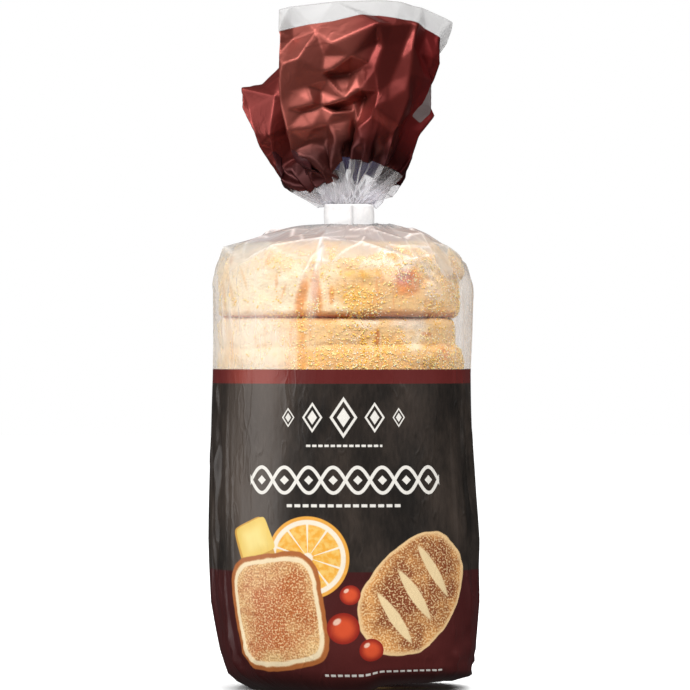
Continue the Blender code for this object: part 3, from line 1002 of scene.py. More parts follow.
def filmHaze(tree, place):
    # flour on the inside of the film, creases whitened partly by wear and partly by a painted highlight, and fine
    # streaks where it was drawn over the bread
    x, y, _ = split(tree, place)
    wornAndLit = tree.nodes.new("ShaderNodeAttribute")
    wornAndLit.attribute_name = "crease"
    # the film lies doubled over the left, below the shoulder, and is hazier there
    leftBand = calc(tree, "MULTIPLY", between(tree, x, -66, -17.5, 0.5), calc(tree, "SUBTRACT", 1.0, stepUp(tree, y, 136, 146)))
    patchy = stepUp(tree, cloud(tree, stretched(tree, place, (0.06, 0.03, 1)), 1.0, 3, 0.6), 0.35, 0.7)
    dust = calc(tree, "MULTIPLY", patchy, calc(tree, "MULTIPLY_ADD", between(tree, x, -70, -14, 6), 0.12, 0.08))
    streaky = stepUp(tree, cloud(tree, stretched(tree, place, (0.8, 0.035, 1)), 1.0, 2, 0.5), 0.60, 0.72)
    haze = calc(tree, "MULTIPLY_ADD", streaky, 0.07, dust)
    haze = calc(tree, "MULTIPLY_ADD", leftBand, 0.14, haze)
    haze = calc(tree, "MULTIPLY_ADD", stepUp(tree, y, 154, 172), 0.36, haze)
    layered = tree.nodes.new("ShaderNodeAttribute")
    layered.attribute_name = "layer"
    haze = calc(tree, "MULTIPLY_ADD", calc(tree, "POWER", layered.outputs["Fac"], 2), 0.34, haze)
    haze = calc(tree, "MULTIPLY_ADD", wornAndLit.outputs["Fac"], 0.34, haze)
    # painted light and shade by height: the milk is paler over the window and greyer over the shoulder, where the light
    # from above falls
    bright = calc(tree, "MULTIPLY", calc(tree, "SUBTRACT", 1.0, stepUp(tree, y, 150, 164)), 0.62)
    return haze, calc(tree, "MAXIMUM", wornAndLit.outputs["Fac"], bright)


filmLook = {
    "inkRough": 0.38, "milk": (0.55, 0.55, 0.555), "wornAndLitMilk": (0.95, 0.94, 0.93),
    "passed": (0.96, 0.95, 0.94), "grazing": 0.42,
}
mouthLook = {
    "inkRough": 0.40, "milk": (0.78, 0.77, 0.76), "wornAndLitMilk": (0.96, 0.96, 0.97),
    "passed": (0.970, 0.968, 0.972), "grazing": 0.4,
}
# the maroon ink, a paler copy for painted light on the left panel, a paler one for painted fill light on the right, and
# a dark one for painted shade in the pleats near the neck
maroonInkAndPaintedLight = {
    "deep": srgb(130, 49, 44), "pale": srgb(160, 82, 71), "right": srgb(160, 51, 51), "fold": srgb(50, 14, 15),
}


def filmMaterial(name, crinkle, inner=False):
    made, tree, shader = newMaterial(name)
    place, printed, colour = printLayout(tree)
    if inner:
        colour = srgb(90, 84, 88)
    normal = useGroup(tree, crinkle, {"Place": stretched(tree, place, (0.14, 0.045, 1)), "Strength": 0.22})
    haze, wornAndLit = filmHaze(tree, place)
    finishFilm(tree, printed, colour, haze, filmLook, normal, wornAndLit)
    return made


def mouthMaterial(name, crinkle, inner=False):
    made, tree, shader = newMaterial(name)
    place = filmPlace(tree)
    height = split(tree, place)[1]
    around = split(tree, place)[0]
    leftLow = calc(tree, "MULTIPLY", between(tree, around, -80, -24, 7), flare["inkDrop"])
    lowered = calc(tree, "ADD", height, leftLow)
    printed = between(tree, lowered, flare["inkLow"], flare["inkHigh"] + flare["inkDrop"], 0.25)
    printed = calc(tree, "MINIMUM", printed, calc(tree, "SUBTRACT", 1.0, stepUp(tree, height, flare["inkHigh"] - 0.25, flare["inkHigh"] + 0.25)))
    strip, _ = shapeMask(tree, place, *flare["turnedStrip"], 9, None, 0.04)
    printed = calc(tree, "MULTIPLY", printed, calc(tree, "MULTIPLY_ADD", strip, -0.7, 1.0))
    lip = stepUp(tree, height, flare["inkHigh"] - 1, flare["inkHigh"] + 1)
    normal = useGroup(tree, crinkle, {"Place": stretched(tree, place, (0.085, 0.085, 1)), "Strength": 0.12})
    # painted light: the left panel is paler, as if lit from the left, and the right side is paler, as if lit by a fill
    colour = blendColour(tree, between(tree, around, -44, -8, 7), maroonInkAndPaintedLight["deep"], maroonInkAndPaintedLight["pale"])
    colour = blendColour(tree, stepUp(tree, around, 14, 26), colour, maroonInkAndPaintedLight["right"])
    # painted shade: the ink darkens low down, in the pleat pockets near the neck
    low = calc(tree, "SUBTRACT", 1.0, stepUp(tree, height, 21, 36))
    colour = blendColour(tree, calc(tree, "MULTIPLY", low, 0.85), colour, maroonInkAndPaintedLight["fold"])
    if inner:
        behind = calc(tree, "MAXIMUM", stepUp(tree, around, 98, 106), stepUp(tree, around, -128, -134))
        behind = calc(tree, "MULTIPLY", behind, calc(tree, "SUBTRACT", 1.0, stepUp(tree, height, 27, 31)))
        colour = blendColour(tree, behind, srgb(64, 28, 30), srgb(78, 66, 128))
    neck = calc(tree, "SUBTRACT", 1.0, stepUp(tree, height, 6, 13))
    haze = calc(tree, "MULTIPLY_ADD", neck, 0.05, calc(tree, "MULTIPLY_ADD", lip, 0.36, 0.06))
    haze = calc(tree, "MULTIPLY_ADD", strip, 0.5, haze)
    # painted light: the gathered neck gets the whiter milk, which lifts the shade between its pleats
    finishFilm(tree, printed, colour, haze, mouthLook, normal, neck)
    shader.inputs["Metallic"].default_value = 0.0 if inner else 0.6
    shader.inputs["Specular IOR Level"].default_value = 0.12 if inner else 0.5
    return made


band = {
    "wide": 8.55,  # of the inner side, from the middle
    "deep": 5.35,
    "square": 2.5,
    "low": 172.2,
    "high": 181.3,
    "thickness": 0.5,
    "seam": 3.0,  # turn of the outer end from the front, in degrees
    "lap": 30.0,
    "pillow": 0.35,
    "steps": 132,
    "rows": 12,
}


def makeBand():
    # a strip of white plastic wound once round the neck, its outer end over its inner one
    print("winding the neck band")
    lap = math.radians(band["lap"])
    turns = np.linspace(-lap, 2 * math.pi, band["steps"])
    levels = np.linspace(0, 1, band["rows"])
    points = []
    for level in levels:
        lift = band["low"] + (band["high"] - band["low"]) * level
        for turn in turns:
            out = (band["thickness"] + 0.12) * (turn + lap) / (2 * math.pi)
            out += band["pillow"] * math.sin(math.pi * level) * (0.4 + 0.6 * abs(math.sin(turn / 2)))
            out += 0.25 * noise.noise((turn * 1.7, level * 2, 4.0))
            edge = 0.3 * noise.noise((turn * 1.3, 7.0 * round(level), 2.0)) * abs(2 * level - 1) ** 3
            x, y = shapeRing(np.array(turn + math.radians(band["seam"])), band["wide"] + out, band["deep"] + out, band["square"])
            points.append((film["neckCentre"] + float(x), float(y), lift + edge))
    columns = len(turns)
    faces = [
        (row * columns + k, row * columns + k + 1, (row + 1) * columns + k + 1, (row + 1) * columns + k)
        for row in range(len(levels) - 1) for k in range(columns - 1)
    ]
    mesh = bpy.data.meshes.new("neck_strip")
    mesh.from_pydata((np.array(points) * mm).tolist(), [], faces)
    mesh.shade_smooth()
    made = bpy.data.objects.new("neck_strip", mesh)
    bpy.context.scene.collection.objects.link(made)
    return solidify(made, band["thickness"])


def bandMaterial():
    made, tree, shader = newMaterial("whiteBandPlastic")
    place = objectPlace(tree)
    soft = cloud(tree, place, 260, 3, 0.6)
    feed(tree, shader.inputs["Base Color"], blendColour(tree, stepUp(tree, soft, 0.3, 0.7), srgb(226, 225, 225), srgb(240, 239, 238)))
    shader.inputs["Roughness"].default_value = 0.42
    shader.inputs["Subsurface Weight"].default_value = 0.08
    shader.inputs["Subsurface Radius"].default_value = (0.002, 0.002, 0.002)
    grain = cloud(tree, stretched(tree, place, (300, 300, 1400)), 1.0, 2, 0.5)
    feed(tree, shader.inputs["Normal"], bump(tree, grain, 0.3, 0.0002, bump(tree, soft, 0.35, 0.0008)))
    return made


muffin = {
    "around": 360,
    "flatSteps": 16,
    "cornerSteps": 16,
    "sideSteps": 46,
    # turn from the front in degrees, then the fold's height over the middle and its depth
    "folds": {
        4: ((-180, 0, 0.9), (-90, 2.0, 1.0), (-40, 2.6, 0.8), (-12, 3.0, 0.5), (-4, 3.8, 1.0), (60, 3.6, 1.7), (110, 2, 1.3), (180, 0, 0.9)),
        5: ((-180, -1, 0.9), (-110, 1, 0.6), (-60, 2, 0.25), (-12, 3.2, 0.5), (14, 3.2, 0.9), (24, 5.4, 1.3), (36, 5.0, 1.2), (52, 2.6, 1.4), (75, -0.6, 1.6), (120, -1, 1.3), (180, -1, 0.9)),
    },
    "skew": {4: -1.5, 5: 1.2},  # how far the upper half stands out over the lower at the right
    # muffin, turn from the front, height over the middle, reach and depth, or rise where negative
    "dimples": (
        (5, 30, -0.6, 2.6, 1.0), (5, 32, 5.6, 4.0, -1.0), (5, 20, 9, 5, 0.6), (5, 6, 8, 6, -0.5),
        (4, 48, -6, 3, 0.8), (4, 22, 5.6, 2.5, 0.6), (4, 15, 5.4, 1.6, 0.5), (5, -24, 4, 6, -0.5),
    ),
    # a curled lobe on the top muffin: turn, height, radius, width and depth of the groove round it
    "lobe": (5, 48, -5.6, 5.6, 1.0, 1.3),
    # toasted patches at the front: x, height, half sizes, lean, strength and colour
    "patches": (
        (-15.9, 146, 1.9, 7.5, -14, 0.8, (222, 138, 48)), (-10.4, 148.5, 1.8, 8.5, 6, 0.75, (216, 130, 48)),
        (-25, 152, 0.6, 2.6, 0, 0.6, (226, 152, 70)), (-22.3, 148.5, 0.5, 2.6, -18, 0.5, (226, 152, 70)),
        (-28.6, 159.4, 0.7, 2.0, -22, 0.55, (226, 150, 76)), (-37.3, 153.5, 0.5, 4.2, 18, 0.5, (226, 168, 92)),
        (-42.2, 149, 0.6, 6.5, 12, 0.5, (216, 164, 96)), (-45, 147, 0.7, 8.5, 8, 0.6, (206, 152, 84)),
        (22.8, 152.2, 4.8, 5.4, 0, 0.8, (230, 128, 36)), (22.2, 153.6, 2.2, 2.8, -30, 0.85, (206, 84, 14)),
        (6.4, 154.6, 7.0, 1.7, 0, 0.6, (246, 190, 66)), (32.6, 146, 1.0, 4.6, -20, 0.5, (226, 152, 88)),
        (12.1, 131.6, 0.8, 3.2, 0, 0.8, (200, 112, 44)), (12.3, 122, 0.5, 7.0, -1, 0.5, (214, 146, 70)),
        (30.4, 132.6, 2.3, 0.8, -8, 0.7, (206, 124, 58)), (37, 125.6, 2.6, 3.0, 0, 0.6, (222, 140, 92)),
        (-15.6, 124, 1.6, 11.0, 0, 0.8, (230, 160, 58)), (-27, 128.4, 6.0, 1.2, 4, 0.5, (240, 196, 134)),
        (-4.8, 147, 1.0, 3.6, 0, 0.7, (230, 150, 60)), (5.6, 146, 4.6, 5.2, 0, 0.5, (244, 196, 104)),
        # pale lumps of dough that never met the griddle
        (22.4, 158.4, 4.4, 2.2, 10, 0.8, (246, 232, 216)), (11, 158.8, 3.4, 2.0, 0, 0.6, (248, 238, 208)),
        (30.5, 157.4, 3.8, 2.6, 0, 0.6, (246, 234, 210)), (33.2, 148, 3.2, 3.6, 0, 0.6, (244, 226, 204)),
        (8, 136.6, 5.0, 1.9, 0, 0.7, (242, 226, 206)), (24, 136.4, 6.0, 2.4, 0, 0.7, (240, 224, 206)),
    ),
}


def doughNoise(points, scale, seed):
    return np.array([noise.noise((x * scale + seed, y * scale, z * scale)) for x, y, z in points])


def muffinPoints(index):
    centre, radius, lowCorner, highCorner = stack["muffins"][index]
    shown = index in muffin["folds"]
    around = muffin["around"] if shown else 96
    corners, sides, flats = (muffin[k] if shown else muffin[k] // 3 for k in ("cornerSteps", "sideSteps", "flatSteps"))
    half = stack["height"] / 2 - 0.05
    profile = []
    for side, corner in ((-1, lowCorner), (1, highCorner)):
        arc = [(radius - corner) * (step / flats) ** 0.7 for step in range(1, flats)]
        run = [(r, side * half) for r in arc]
        for step in range(corners + 1):
            turn = math.pi / 2 * step / corners
            run.append((radius - corner + corner * math.sin(turn), side * (half - corner + corner * math.cos(turn))))
        profile += run if side < 0 else run[::-1]
    low, high = -half + lowCorner, half - highCorner
    middle = [(radius, low + (high - low) * step / sides) for step in range(1, sides)]
    split = flats - 1 + corners + 1
    profile = np.array(profile[:split] + middle + profile[split:])
    turn = np.linspace(-math.pi, math.pi, around, endpoint=False)
    reach, rise = np.broadcast_to(profile[:, :1], (len(profile), around)), np.broadcast_to(profile[:, 1:], (len(profile), around))
    turns = np.broadcast_to(turn, reach.shape)
    places = np.stack([np.sin(turns) * reach, -np.cos(turns) * reach, rise + index * 60], -1).reshape(-1, 3)
    swell = doughNoise(places, 0.035, 3) * 1.3 + doughNoise(places, 0.11, 5) * 0.7
    if shown:
        swell += doughNoise(places, 0.3, 7) * 0.28 + doughNoise(places * (1, 1, 2.2), 0.75, 9) * 0.13
    swell = swell.reshape(reach.shape)
    edge = np.clip(reach / radius, 0, 1) ** 4
    out = swell * edge - 0.6 * edge
    lift = swell * (1 - edge) * np.sign(rise) * 0.5
    if shown:
        degrees = np.degrees(turns)
        folds = np.array(muffin["folds"][index], float)
        line = np.interp(degrees, folds[:, 0], folds[:, 1]) + doughNoise(places, 0.09, 11).reshape(reach.shape) * 1.2
        depth = np.interp(degrees, folds[:, 0], folds[:, 2])
        off = rise - line
        out -= depth * np.exp(-np.abs(off) / 1.7) * edge
        out += muffin["skew"][index] * np.tanh(off / 2) * np.maximum(np.sin(turns), 0.1) * edge
        for which, place, height, span, deep in muffin["dimples"]:
            if which == index:
                away = np.hypot((degrees - place) * radius * math.pi / 180, rise - height) / span
                out -= deep * np.exp(-away ** 2) * edge
        which, place, height, curl, width, deep = muffin["lobe"]
        if which == index:
            away = np.hypot((degrees - place) * radius * math.pi / 180, rise - height)
            upper = 1 / (1 + np.exp(-(rise - height + (degrees - place) * 0.5) / 2.5))
            out -= deep * np.exp(-((away - curl) / width) ** 2) * upper * edge
            out += 0.5 * np.exp(-(away / curl) ** 4) * edge
    x = centre + np.sin(turns) * (reach + out)
    y = -np.cos(turns) * (reach + out)
    z = (index + 0.5) * stack["height"] + rise + lift
    return raiseBase(np.stack([x, y, np.maximum(z, 0.8)], -1)), centre


def makeMuffin(index):
    points, centre = muffinPoints(index)
    rows, around = points.shape[:2]
    cells = np.arange(rows * around).reshape(rows, around)
    ahead = np.roll(cells, -1, 1)
    quads = np.stack([cells[:-1], ahead[:-1], ahead[1:], cells[1:]], -1).reshape(-1, 4).tolist()
    bottom, top = rows * around, rows * around + 1
    fans = [(ahead[0, k], cells[0, k], bottom) for k in range(around)]
    fans += [(cells[-1, k], ahead[-1, k], top) for k in range(around)]
    places = points.reshape(-1, 3).tolist() + [points[0].mean(0).tolist(), points[-1].mean(0).tolist()]
    mesh = bpy.data.meshes.new(f"muffin_{index + 1}")
    mesh.from_pydata((np.array(places) * mm).tolist(), [], quads + [tuple(int(k) for k in fan) for fan in fans])
    mesh.shade_smooth()
    made = bpy.data.objects.new(f"muffin_{index + 1}", mesh)
    bpy.context.scene.collection.objects.link(made)
    return made


def objectPlace(tree):
    return tree.nodes.new("ShaderNodeTexCoord").outputs["Object"]


grains = {
    # name: density per square metre, radius, patchiness from and to, seed
    "semolina_grains": (0.68e6, 0.50 * mm, 0.42, 0.58, 3),
    "flour_grains": (0.5e6, 0.34 * mm, 0.36, 0.60, 8),
    "lobe": (0.129, 0.125),  # heights where they get thicker, going down
    "lobeMore": 0.12,
    "lowest": 108.0,  # nothing below this height can be seen through the window
}


def crustMaterial():
    made, tree, shader = newMaterial("muffinCrust")
    place = objectPlace(tree)
    axes = tree.nodes.new("ShaderNodeSeparateXYZ")
    feed(tree, axes.inputs[0], place)
    broad = cloud(tree, place, 45, 3, 0.55)
    small = cloud(tree, place, 260, 3, 0.6)
    # painted light: the crust is paler at the left, where the key light falls, and more golden to the right; the
    # toasted band over each seam is weaker at the left for the same reason
    rightward = stepUp(tree, axes.outputs[0], -0.032, 0.004)
    tone = calc(tree, "ADD", calc(tree, "MULTIPLY", broad, 0.9), calc(tree, "MULTIPLY", small, 0.3))
    tone = calc(tree, "ADD", tone, calc(tree, "MULTIPLY", rightward, 0.22))
    colour = blendColour(tree, stepUp(tree, tone, 0.55, 0.9), srgb(249, 232, 202), srgb(239, 197, 135))
    # golden where the grains lie thick, and toasted where a face met the griddle; at the seams between muffins that
    # toasted colour is partly painted shade
    lobe = calc(tree, "MULTIPLY", stepUp(tree, axes.outputs[2], *grains["lobe"]), grains["lobeMore"])
    thick = stepUp(tree, calc(tree, "ADD", cloud(tree, place, 70, 3, 0.5), lobe), 0.44, 0.58)
    thick = calc(tree, "MULTIPLY", thick, stepUp(tree, axes.outputs[0], -0.034, -0.012))
    colour = blendColour(tree, calc(tree, "MULTIPLY", thick, 0.6), colour, srgb(236, 176, 92))
    turned = calc(tree, "FRACT", calc(tree, "DIVIDE", axes.outputs[2], stack["height"] * mm))
    rim = calc(tree, "ABSOLUTE", calc(tree, "SUBTRACT", turned, 0.5))
    above = calc(tree, "SUBTRACT", calc(tree, "MULTIPLY_ADD", broad, 0.14, 0.045), turned)  # over a seam
    glow = calc(tree, "MULTIPLY", stepUp(tree, above, 0.0, 0.09), calc(tree, "MULTIPLY_ADD", rightward, 0.4, 0.35))
    colour = blendColour(tree, glow, colour, srgb(222, 134, 62))
    # painted shade in the seam between muffins, on top of the toasted rim
    colour = blendColour(tree, stepUp(tree, rim, 0.47, 0.495), colour, srgb(204, 104, 58))
    smears = stepUp(tree, cloud(tree, stretched(tree, place, (420, 420, 55)), 1.0, 2, 0.5), 0.56, 0.72)
    smears = calc(tree, "MULTIPLY", smears, stepUp(tree, broad, 0.35, 0.6))
    colour = blendColour(tree, calc(tree, "MULTIPLY", smears, 0.5), colour, srgb(224, 142, 60))
    flatPlace = tree.nodes.new("ShaderNodeCombineXYZ")
    feed(tree, flatPlace.inputs[0], calc(tree, "DIVIDE", axes.outputs[0], mm))
    feed(tree, flatPlace.inputs[1], calc(tree, "DIVIDE", axes.outputs[2], mm))
    front = stepUp(tree, axes.outputs[1], -0.010, -0.016)
    ragged = calc(tree, "MULTIPLY", calc(tree, "SUBTRACT", cloud(tree, place, 420, 3, 0.6), 0.5), 1.1)
    for x, height, wide, high, lean, strength, tone in muffin["patches"]:
        mask, _ = shapeMask(tree, flatPlace.outputs[0], (x, height), (wide, high), lean, 2, ragged, 0.5)
        mask = calc(tree, "MULTIPLY", calc(tree, "MULTIPLY", mask, strength), front)
        colour = blendColour(tree, mask, colour, srgb(*tone))
    feed(tree, shader.inputs["Base Color"], colour)
    shader.inputs["Roughness"].default_value = 0.75
    shader.inputs["Subsurface Weight"].default_value = 0.1
    shader.inputs["Subsurface Radius"].default_value = (0.004, 0.0025, 0.0015)
    fine = cloud(tree, place, 900, 3, 0.6)
    feed(tree, shader.inputs["Normal"], bump(tree, fine, 0.5, 0.0004, bump(tree, small, 0.6, 0.001)))
    return made


def node(tree, kind, **settings):
    made = tree.nodes.new(kind)
    for name, value in settings.items():
        setattr(made, name, value)
    return made


def grainTree():
    # grains scattered in patches over a surface, as geometry nodes
    tree = bpy.data.node_groups.new("scatteredGrains", "GeometryNodeTree")
    face = tree.interface
    face.new_socket(name="Surface", in_out="INPUT", socket_type="NodeSocketGeometry")
    for name, kind in (("Density", "Float"), ("Grain radius", "Float"), ("Patch from", "Float"), ("Patch to", "Float"), ("Lowest", "Float"), ("Seed", "Int"), ("Grain", "Material")):
        face.new_socket(name=name, in_out="INPUT", socket_type=f"NodeSocket{kind}")
    face.new_socket(name="Grains", in_out="OUTPUT", socket_type="NodeSocketGeometry")
    links = tree.links
    given = node(tree, "NodeGroupInput").outputs
    place = node(tree, "GeometryNodeInputPosition").outputs[0]
    axes = node(tree, "ShaderNodeSeparateXYZ")
    links.new(place, axes.inputs[0])
    high = node(tree, "ShaderNodeMath", operation="GREATER_THAN")
    links.new(axes.outputs[2], high.inputs[0])
    links.new(given["Lowest"], high.inputs[1])
    patchy = node(tree, "ShaderNodeTexNoise")
    patchy.inputs["Scale"].default_value = 70
    patchy.inputs["Detail"].default_value = 3
    links.new(place, patchy.inputs["Vector"])
    shoulder = node(tree, "ShaderNodeMapRange")  # more of them on the top muffin's upper edge
    links.new(axes.outputs[2], shoulder.inputs["Value"])
    shoulder.inputs["From Min"].default_value = 0.155
    shoulder.inputs["From Max"].default_value = 0.162
    shoulder.inputs["To Max"].default_value = 0.12
    lobe = node(tree, "ShaderNodeMapRange")
    links.new(axes.outputs[2], lobe.inputs["Value"])
    lobe.inputs["From Min"].default_value, lobe.inputs["From Max"].default_value = grains["lobe"]
    lobe.inputs["To Max"].default_value = grains["lobeMore"]
    more = node(tree, "ShaderNodeMath", operation="ADD")
    links.new(patchy.outputs["Fac"], more.inputs[0])
    links.new(shoulder.outputs[0], more.inputs[1])
    most = node(tree, "ShaderNodeMath", operation="ADD")
    links.new(more.outputs[0], most.inputs[0])
    links.new(lobe.outputs[0], most.inputs[1])
    share = node(tree, "ShaderNodeMapRange")
    links.new(most.outputs[0], share.inputs["Value"])
    links.new(given["Patch from"], share.inputs["From Min"])
    links.new(given["Patch to"], share.inputs["From Max"])
    share.inputs["To Min"].default_value = 0.12
    middle = node(tree, "ShaderNodeMapRange")
    links.new(axes.outputs[0], middle.inputs["Value"])
    middle.inputs["From Min"].default_value = -0.034
    middle.inputs["From Max"].default_value = -0.008
    middle.inputs["To Min"].default_value = 0.25
    both = node(tree, "ShaderNodeMath", operation="MULTIPLY")
    links.new(share.outputs[0], both.inputs[0])
    links.new(middle.outputs[0], both.inputs[1])
    density = node(tree, "ShaderNodeMath", operation="MULTIPLY")
    links.new(both.outputs[0], density.inputs[0])
    links.new(given["Density"], density.inputs[1])
    spread = node(tree, "GeometryNodeDistributePointsOnFaces")
    links.new(given["Surface"], spread.inputs["Mesh"])
    links.new(high.outputs[0], spread.inputs["Selection"])
    links.new(density.outputs[0], spread.inputs["Density"])
    links.new(given["Seed"], spread.inputs["Seed"])
    grain = node(tree, "GeometryNodeMeshUVSphere")
    grain.inputs["Segments"].default_value = 4
    grain.inputs["Rings"].default_value = 2
    links.new(given["Grain radius"], grain.inputs["Radius"])
    turn = node(tree, "FunctionNodeRandomValue", data_type="FLOAT_VECTOR")
    turn.inputs["Max"].default_value = (6.28, 6.28, 6.28)
    size = node(tree, "FunctionNodeRandomValue", data_type="FLOAT_VECTOR")
    size.inputs["Min"].default_value = (0.55, 0.55, 0.45)
    size.inputs["Max"].default_value = (1.4, 1.3, 1.1)
    for source in (turn, size):
        links.new(given["Seed"], source.inputs["Seed"])
    copies = node(tree, "GeometryNodeInstanceOnPoints")
    links.new(spread.outputs["Points"], copies.inputs["Points"])
    links.new(grain.outputs["Mesh"], copies.inputs["Instance"])
    links.new(turn.outputs["Value"], copies.inputs["Rotation"])
    links.new(size.outputs["Value"], copies.inputs["Scale"])
    real = node(tree, "GeometryNodeRealizeInstances")
    links.new(copies.outputs[0], real.inputs[0])
    smooth = node(tree, "GeometryNodeSetShadeSmooth")
    links.new(real.outputs[0], smooth.inputs["Geometry"])
    finish = node(tree, "GeometryNodeSetMaterial")
    links.new(smooth.outputs[0], finish.inputs["Geometry"])
    links.new(given["Grain"], finish.inputs["Material"])
    links.new(finish.outputs[0], node(tree, "NodeGroupOutput").inputs[0])
    return tree


def grainMaterial(name, pale, deep):
    made, tree, shader = newMaterial(name)
    place = objectPlace(tree)
    tone = stepUp(tree, cloud(tree, place, 700, 1, 0.5), 0.35, 0.65)
    feed(tree, shader.inputs["Base Color"], blendColour(tree, tone, srgb(*deep), srgb(*pale)))
    shader.inputs["Roughness"].default_value = 0.45
    shader.inputs["Subsurface Weight"].default_value = 0.15
    shader.inputs["Subsurface Radius"].default_value = (0.0006, 0.0004, 0.0002)
    return made


def scatterGrains(name, tree, surface, material):
    density, radius, patchFrom, patchTo, seed = grains[name]
    made = bpy.data.objects.new(name, surface)
    bpy.context.scene.collection.objects.link(made)
    maker = made.modifiers.new("grains", "NODES")
    maker.node_group = tree
    values = {"Density": density, "Grain radius": radius, "Patch from": patchFrom, "Patch to": patchTo, "Lowest": grains["lowest"] * mm, "Seed": seed, "Grain": material}
    for item in tree.interface.items_tree:
        if item.in_out == "INPUT" and item.name in values:
            maker[item.identifier] = values[item.name]
    bpy.context.view_layer.update()
    graph = bpy.context.evaluated_depsgraph_get()
    solid = bpy.data.meshes.new_from_object(made.evaluated_get(graph))
    made.modifiers.clear()
    made.data = solid
    print(name, len(solid.polygons), "faces")
    return made


def joinedSurface(pieces):
    # one mesh of the given muffins' outsides
    mesh = bmesh.new()
    for piece in pieces:
        mesh.from_mesh(piece.data)
    joined = bpy.data.meshes.new("flouredSurface")
    mesh.to_mesh(joined)
    mesh.free()
    return joined


flareGrid = settleFlare()
rows, columns = flareGrid.shape[:2]
half = flare["girth"] / 2
uv = np.stack(np.meshgrid(np.linspace(-half, half, columns, endpoint=False), np.linspace(0, flare["length"], rows)), -1) * mm
flareFilm = gridMesh("flared_mouth", flareGrid, uv)
crinkle = crinkleGroup()
flareFilm.data.materials.append(mouthMaterial("mouthPrint", crinkle))
flareFilm.data.materials.append(mouthMaterial("mouthInside", crinkle, True))
solidify(flareFilm, film["thickness"], 1)
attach(flareFilm, "root")

bodyGrid, v, marks = settleBody()
rows, columns = bodyGrid.shape[:2]
u = (np.arange(columns) / columns - 0.5) * body["girth"]
uv = np.stack(np.meshgrid(u, v), -1) * mm
bodyFilm = gridMesh("bag_film", bodyGrid, uv)
for title, values in marks.items():
    layer = bodyFilm.data.attributes.new(title, "FLOAT", "POINT")
    layer.data.foreach_set("value", values.astype(np.float32).ravel())
bodyFilm.data.materials.append(filmMaterial("bodyPrint", crinkle))
bodyFilm.data.materials.append(filmMaterial("bodyInside", crinkle, True))
solidify(bodyFilm, film["thickness"], 1)
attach(bodyFilm, "root")
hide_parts("bag")

strip = makeBand()
strip.data.materials.append(bandMaterial())
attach(strip, "root")
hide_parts("neck_band")

crust = crustMaterial()
muffins = []
for index in range(len(stack["muffins"])):
    made = makeMuffin(index)
    made.data.materials.append(crust)
    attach(made, "root")
    muffins.append(made)

floured = joinedSurface(muffins[-2:])
tree = grainTree()
for name, pale, deep in (("semolina_grains", (255, 244, 180), (255, 200, 64)), ("flour_grains", (255, 252, 240), (255, 240, 205))):
    made = scatterGrains(name, tree, floured.copy(), grainMaterial(name, pale, deep))
    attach(made, "root")

world = bpy.data.worlds.new("studio")
bpy.context.scene.world = world
world.use_nodes = True
nodes, links = world.node_tree.nodes, world.node_tree.links
back = nodes["Background"]
back.inputs["Color"].default_value = (1, 1, 1, 1)
path = nodes.new("ShaderNodeLightPath")
white = nodes.new("ShaderNodeBackground")
white.inputs["Color"].default_value = (1, 1, 1, 1)
white.inputs["Strength"].default_value = 1.0
dim = nodes.new("ShaderNodeMapRange")
dim.inputs["To Min"].default_value = 0.18
dim.inputs["To Max"].default_value = 0.05
links.new(path.outputs["Is Glossy Ray"], dim.inputs["Value"])
links.new(dim.outputs[0], back.inputs["Strength"])
mix = nodes.new("ShaderNodeMixShader")
links.new(path.outputs["Is Camera Ray"], mix.inputs[0])
links.new(back.outputs[0], mix.inputs[1])
links.new(white.outputs[0], mix.inputs[2])
links.new(mix.outputs[0], nodes["World Output"].inputs["Surface"])

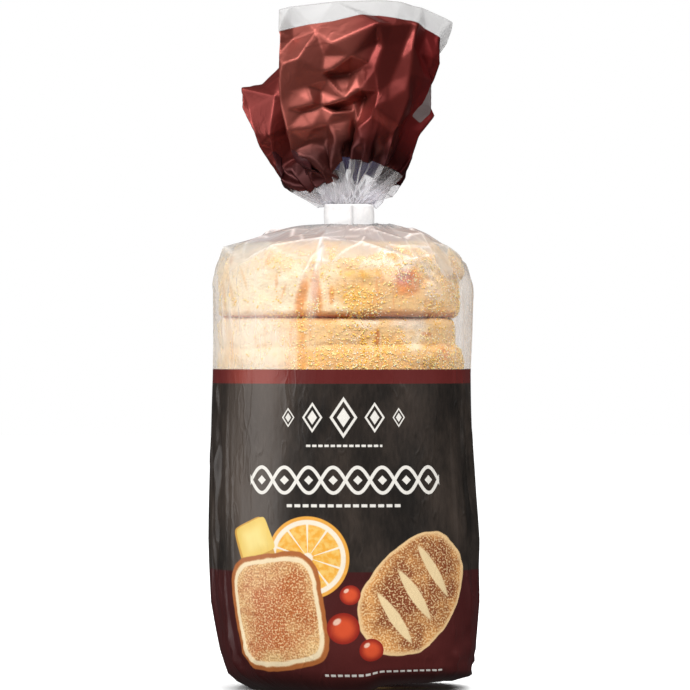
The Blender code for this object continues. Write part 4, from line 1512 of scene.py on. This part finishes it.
camera = bpy.data.cameras.new("camera")
cameraObject = bpy.data.objects.new("camera", camera)
bpy.context.scene.collection.objects.link(cameraObject)
camera.lens = 300
camera.sensor_width = 36
distance = 300 / 36 * 0.25875
tilt = 0.0
aim = Vector((0.0002, 0, 0.1286))
cameraObject.location = aim + Vector((0, -math.cos(tilt), math.sin(tilt))) * distance
cameraObject.rotation_euler = (math.pi / 2 - tilt, 0, 0)
bpy.context.scene.camera = cameraObject


def softLight(name, place, size, power, receivers=None):
    lamp = bpy.data.lights.new(name, "AREA")
    lamp.shape = "RECTANGLE"
    lamp.size, lamp.size_y = size
    lamp.energy = power
    made = bpy.data.objects.new(name, lamp)
    made.location = place
    made.rotation_euler = (Vector((0, 0, 0.12)) - Vector(place)).to_track_quat("-Z", "Y").to_euler()
    made.visible_camera = False
    made.light_linking.receiver_collection = receivers
    bpy.context.scene.collection.objects.link(made)


breadOnly = bpy.data.collections.new("fillTheBread")  # the mouth's folds keep their dark sides
breadOnly.objects.link(flareFilm)
breadOnly.collection_objects[0].light_linking.link_state = "EXCLUDE"
softLight("leftSide", (-1.55, -0.65, 0.5), (1.7, 1.6), 17)
softLight("key", (-1.15, -1.4, 1.35), (0.7, 0.9), 24)
softLight("rightSide", (1.5, -1.0, 1.6), (0.9, 0.9), 36, breadOnly)
softLight("frontFill", (0.4, -1.7, 2.1), (1.4, 1.0), 21)
softLight("top", (0, -0.3, 1.9), (1.3, 1.3), 5)

floorMesh = bpy.data.meshes.new("floor")
ring = [(6 * math.cos(a * math.pi / 16), 6 * math.sin(a * math.pi / 16), 0) for a in range(32)]
floorMesh.from_pydata(ring, [], [list(range(32))])
floor = bpy.data.objects.new("floor", floorMesh)
bpy.context.scene.collection.objects.link(floor)
paleFloor = plainMaterial("paleFloor", (0.9, 0.9, 0.9), 1.0)
paleFloor.node_tree.nodes["Principled BSDF"].inputs["Specular IOR Level"].default_value = 0.0
floorMesh.materials.append(paleFloor)
floor.visible_diffuse = False
floor.visible_glossy = False
sun = bpy.data.lights.new("floorSun", "SUN")
sun.energy = 3.6
sun.angle = math.radians(70)
sunObject = bpy.data.objects.new("floorSun", sun)
bpy.context.scene.collection.objects.link(sunObject)
lit = bpy.data.collections.new("floorLit")
lit.objects.link(floor)
sunObject.light_linking.receiver_collection = lit
bpy.context.scene.view_settings.view_transform = "Standard"
bpy.context.scene.cycles.transparent_max_bounces = 48  # the gathered neck is many films deep
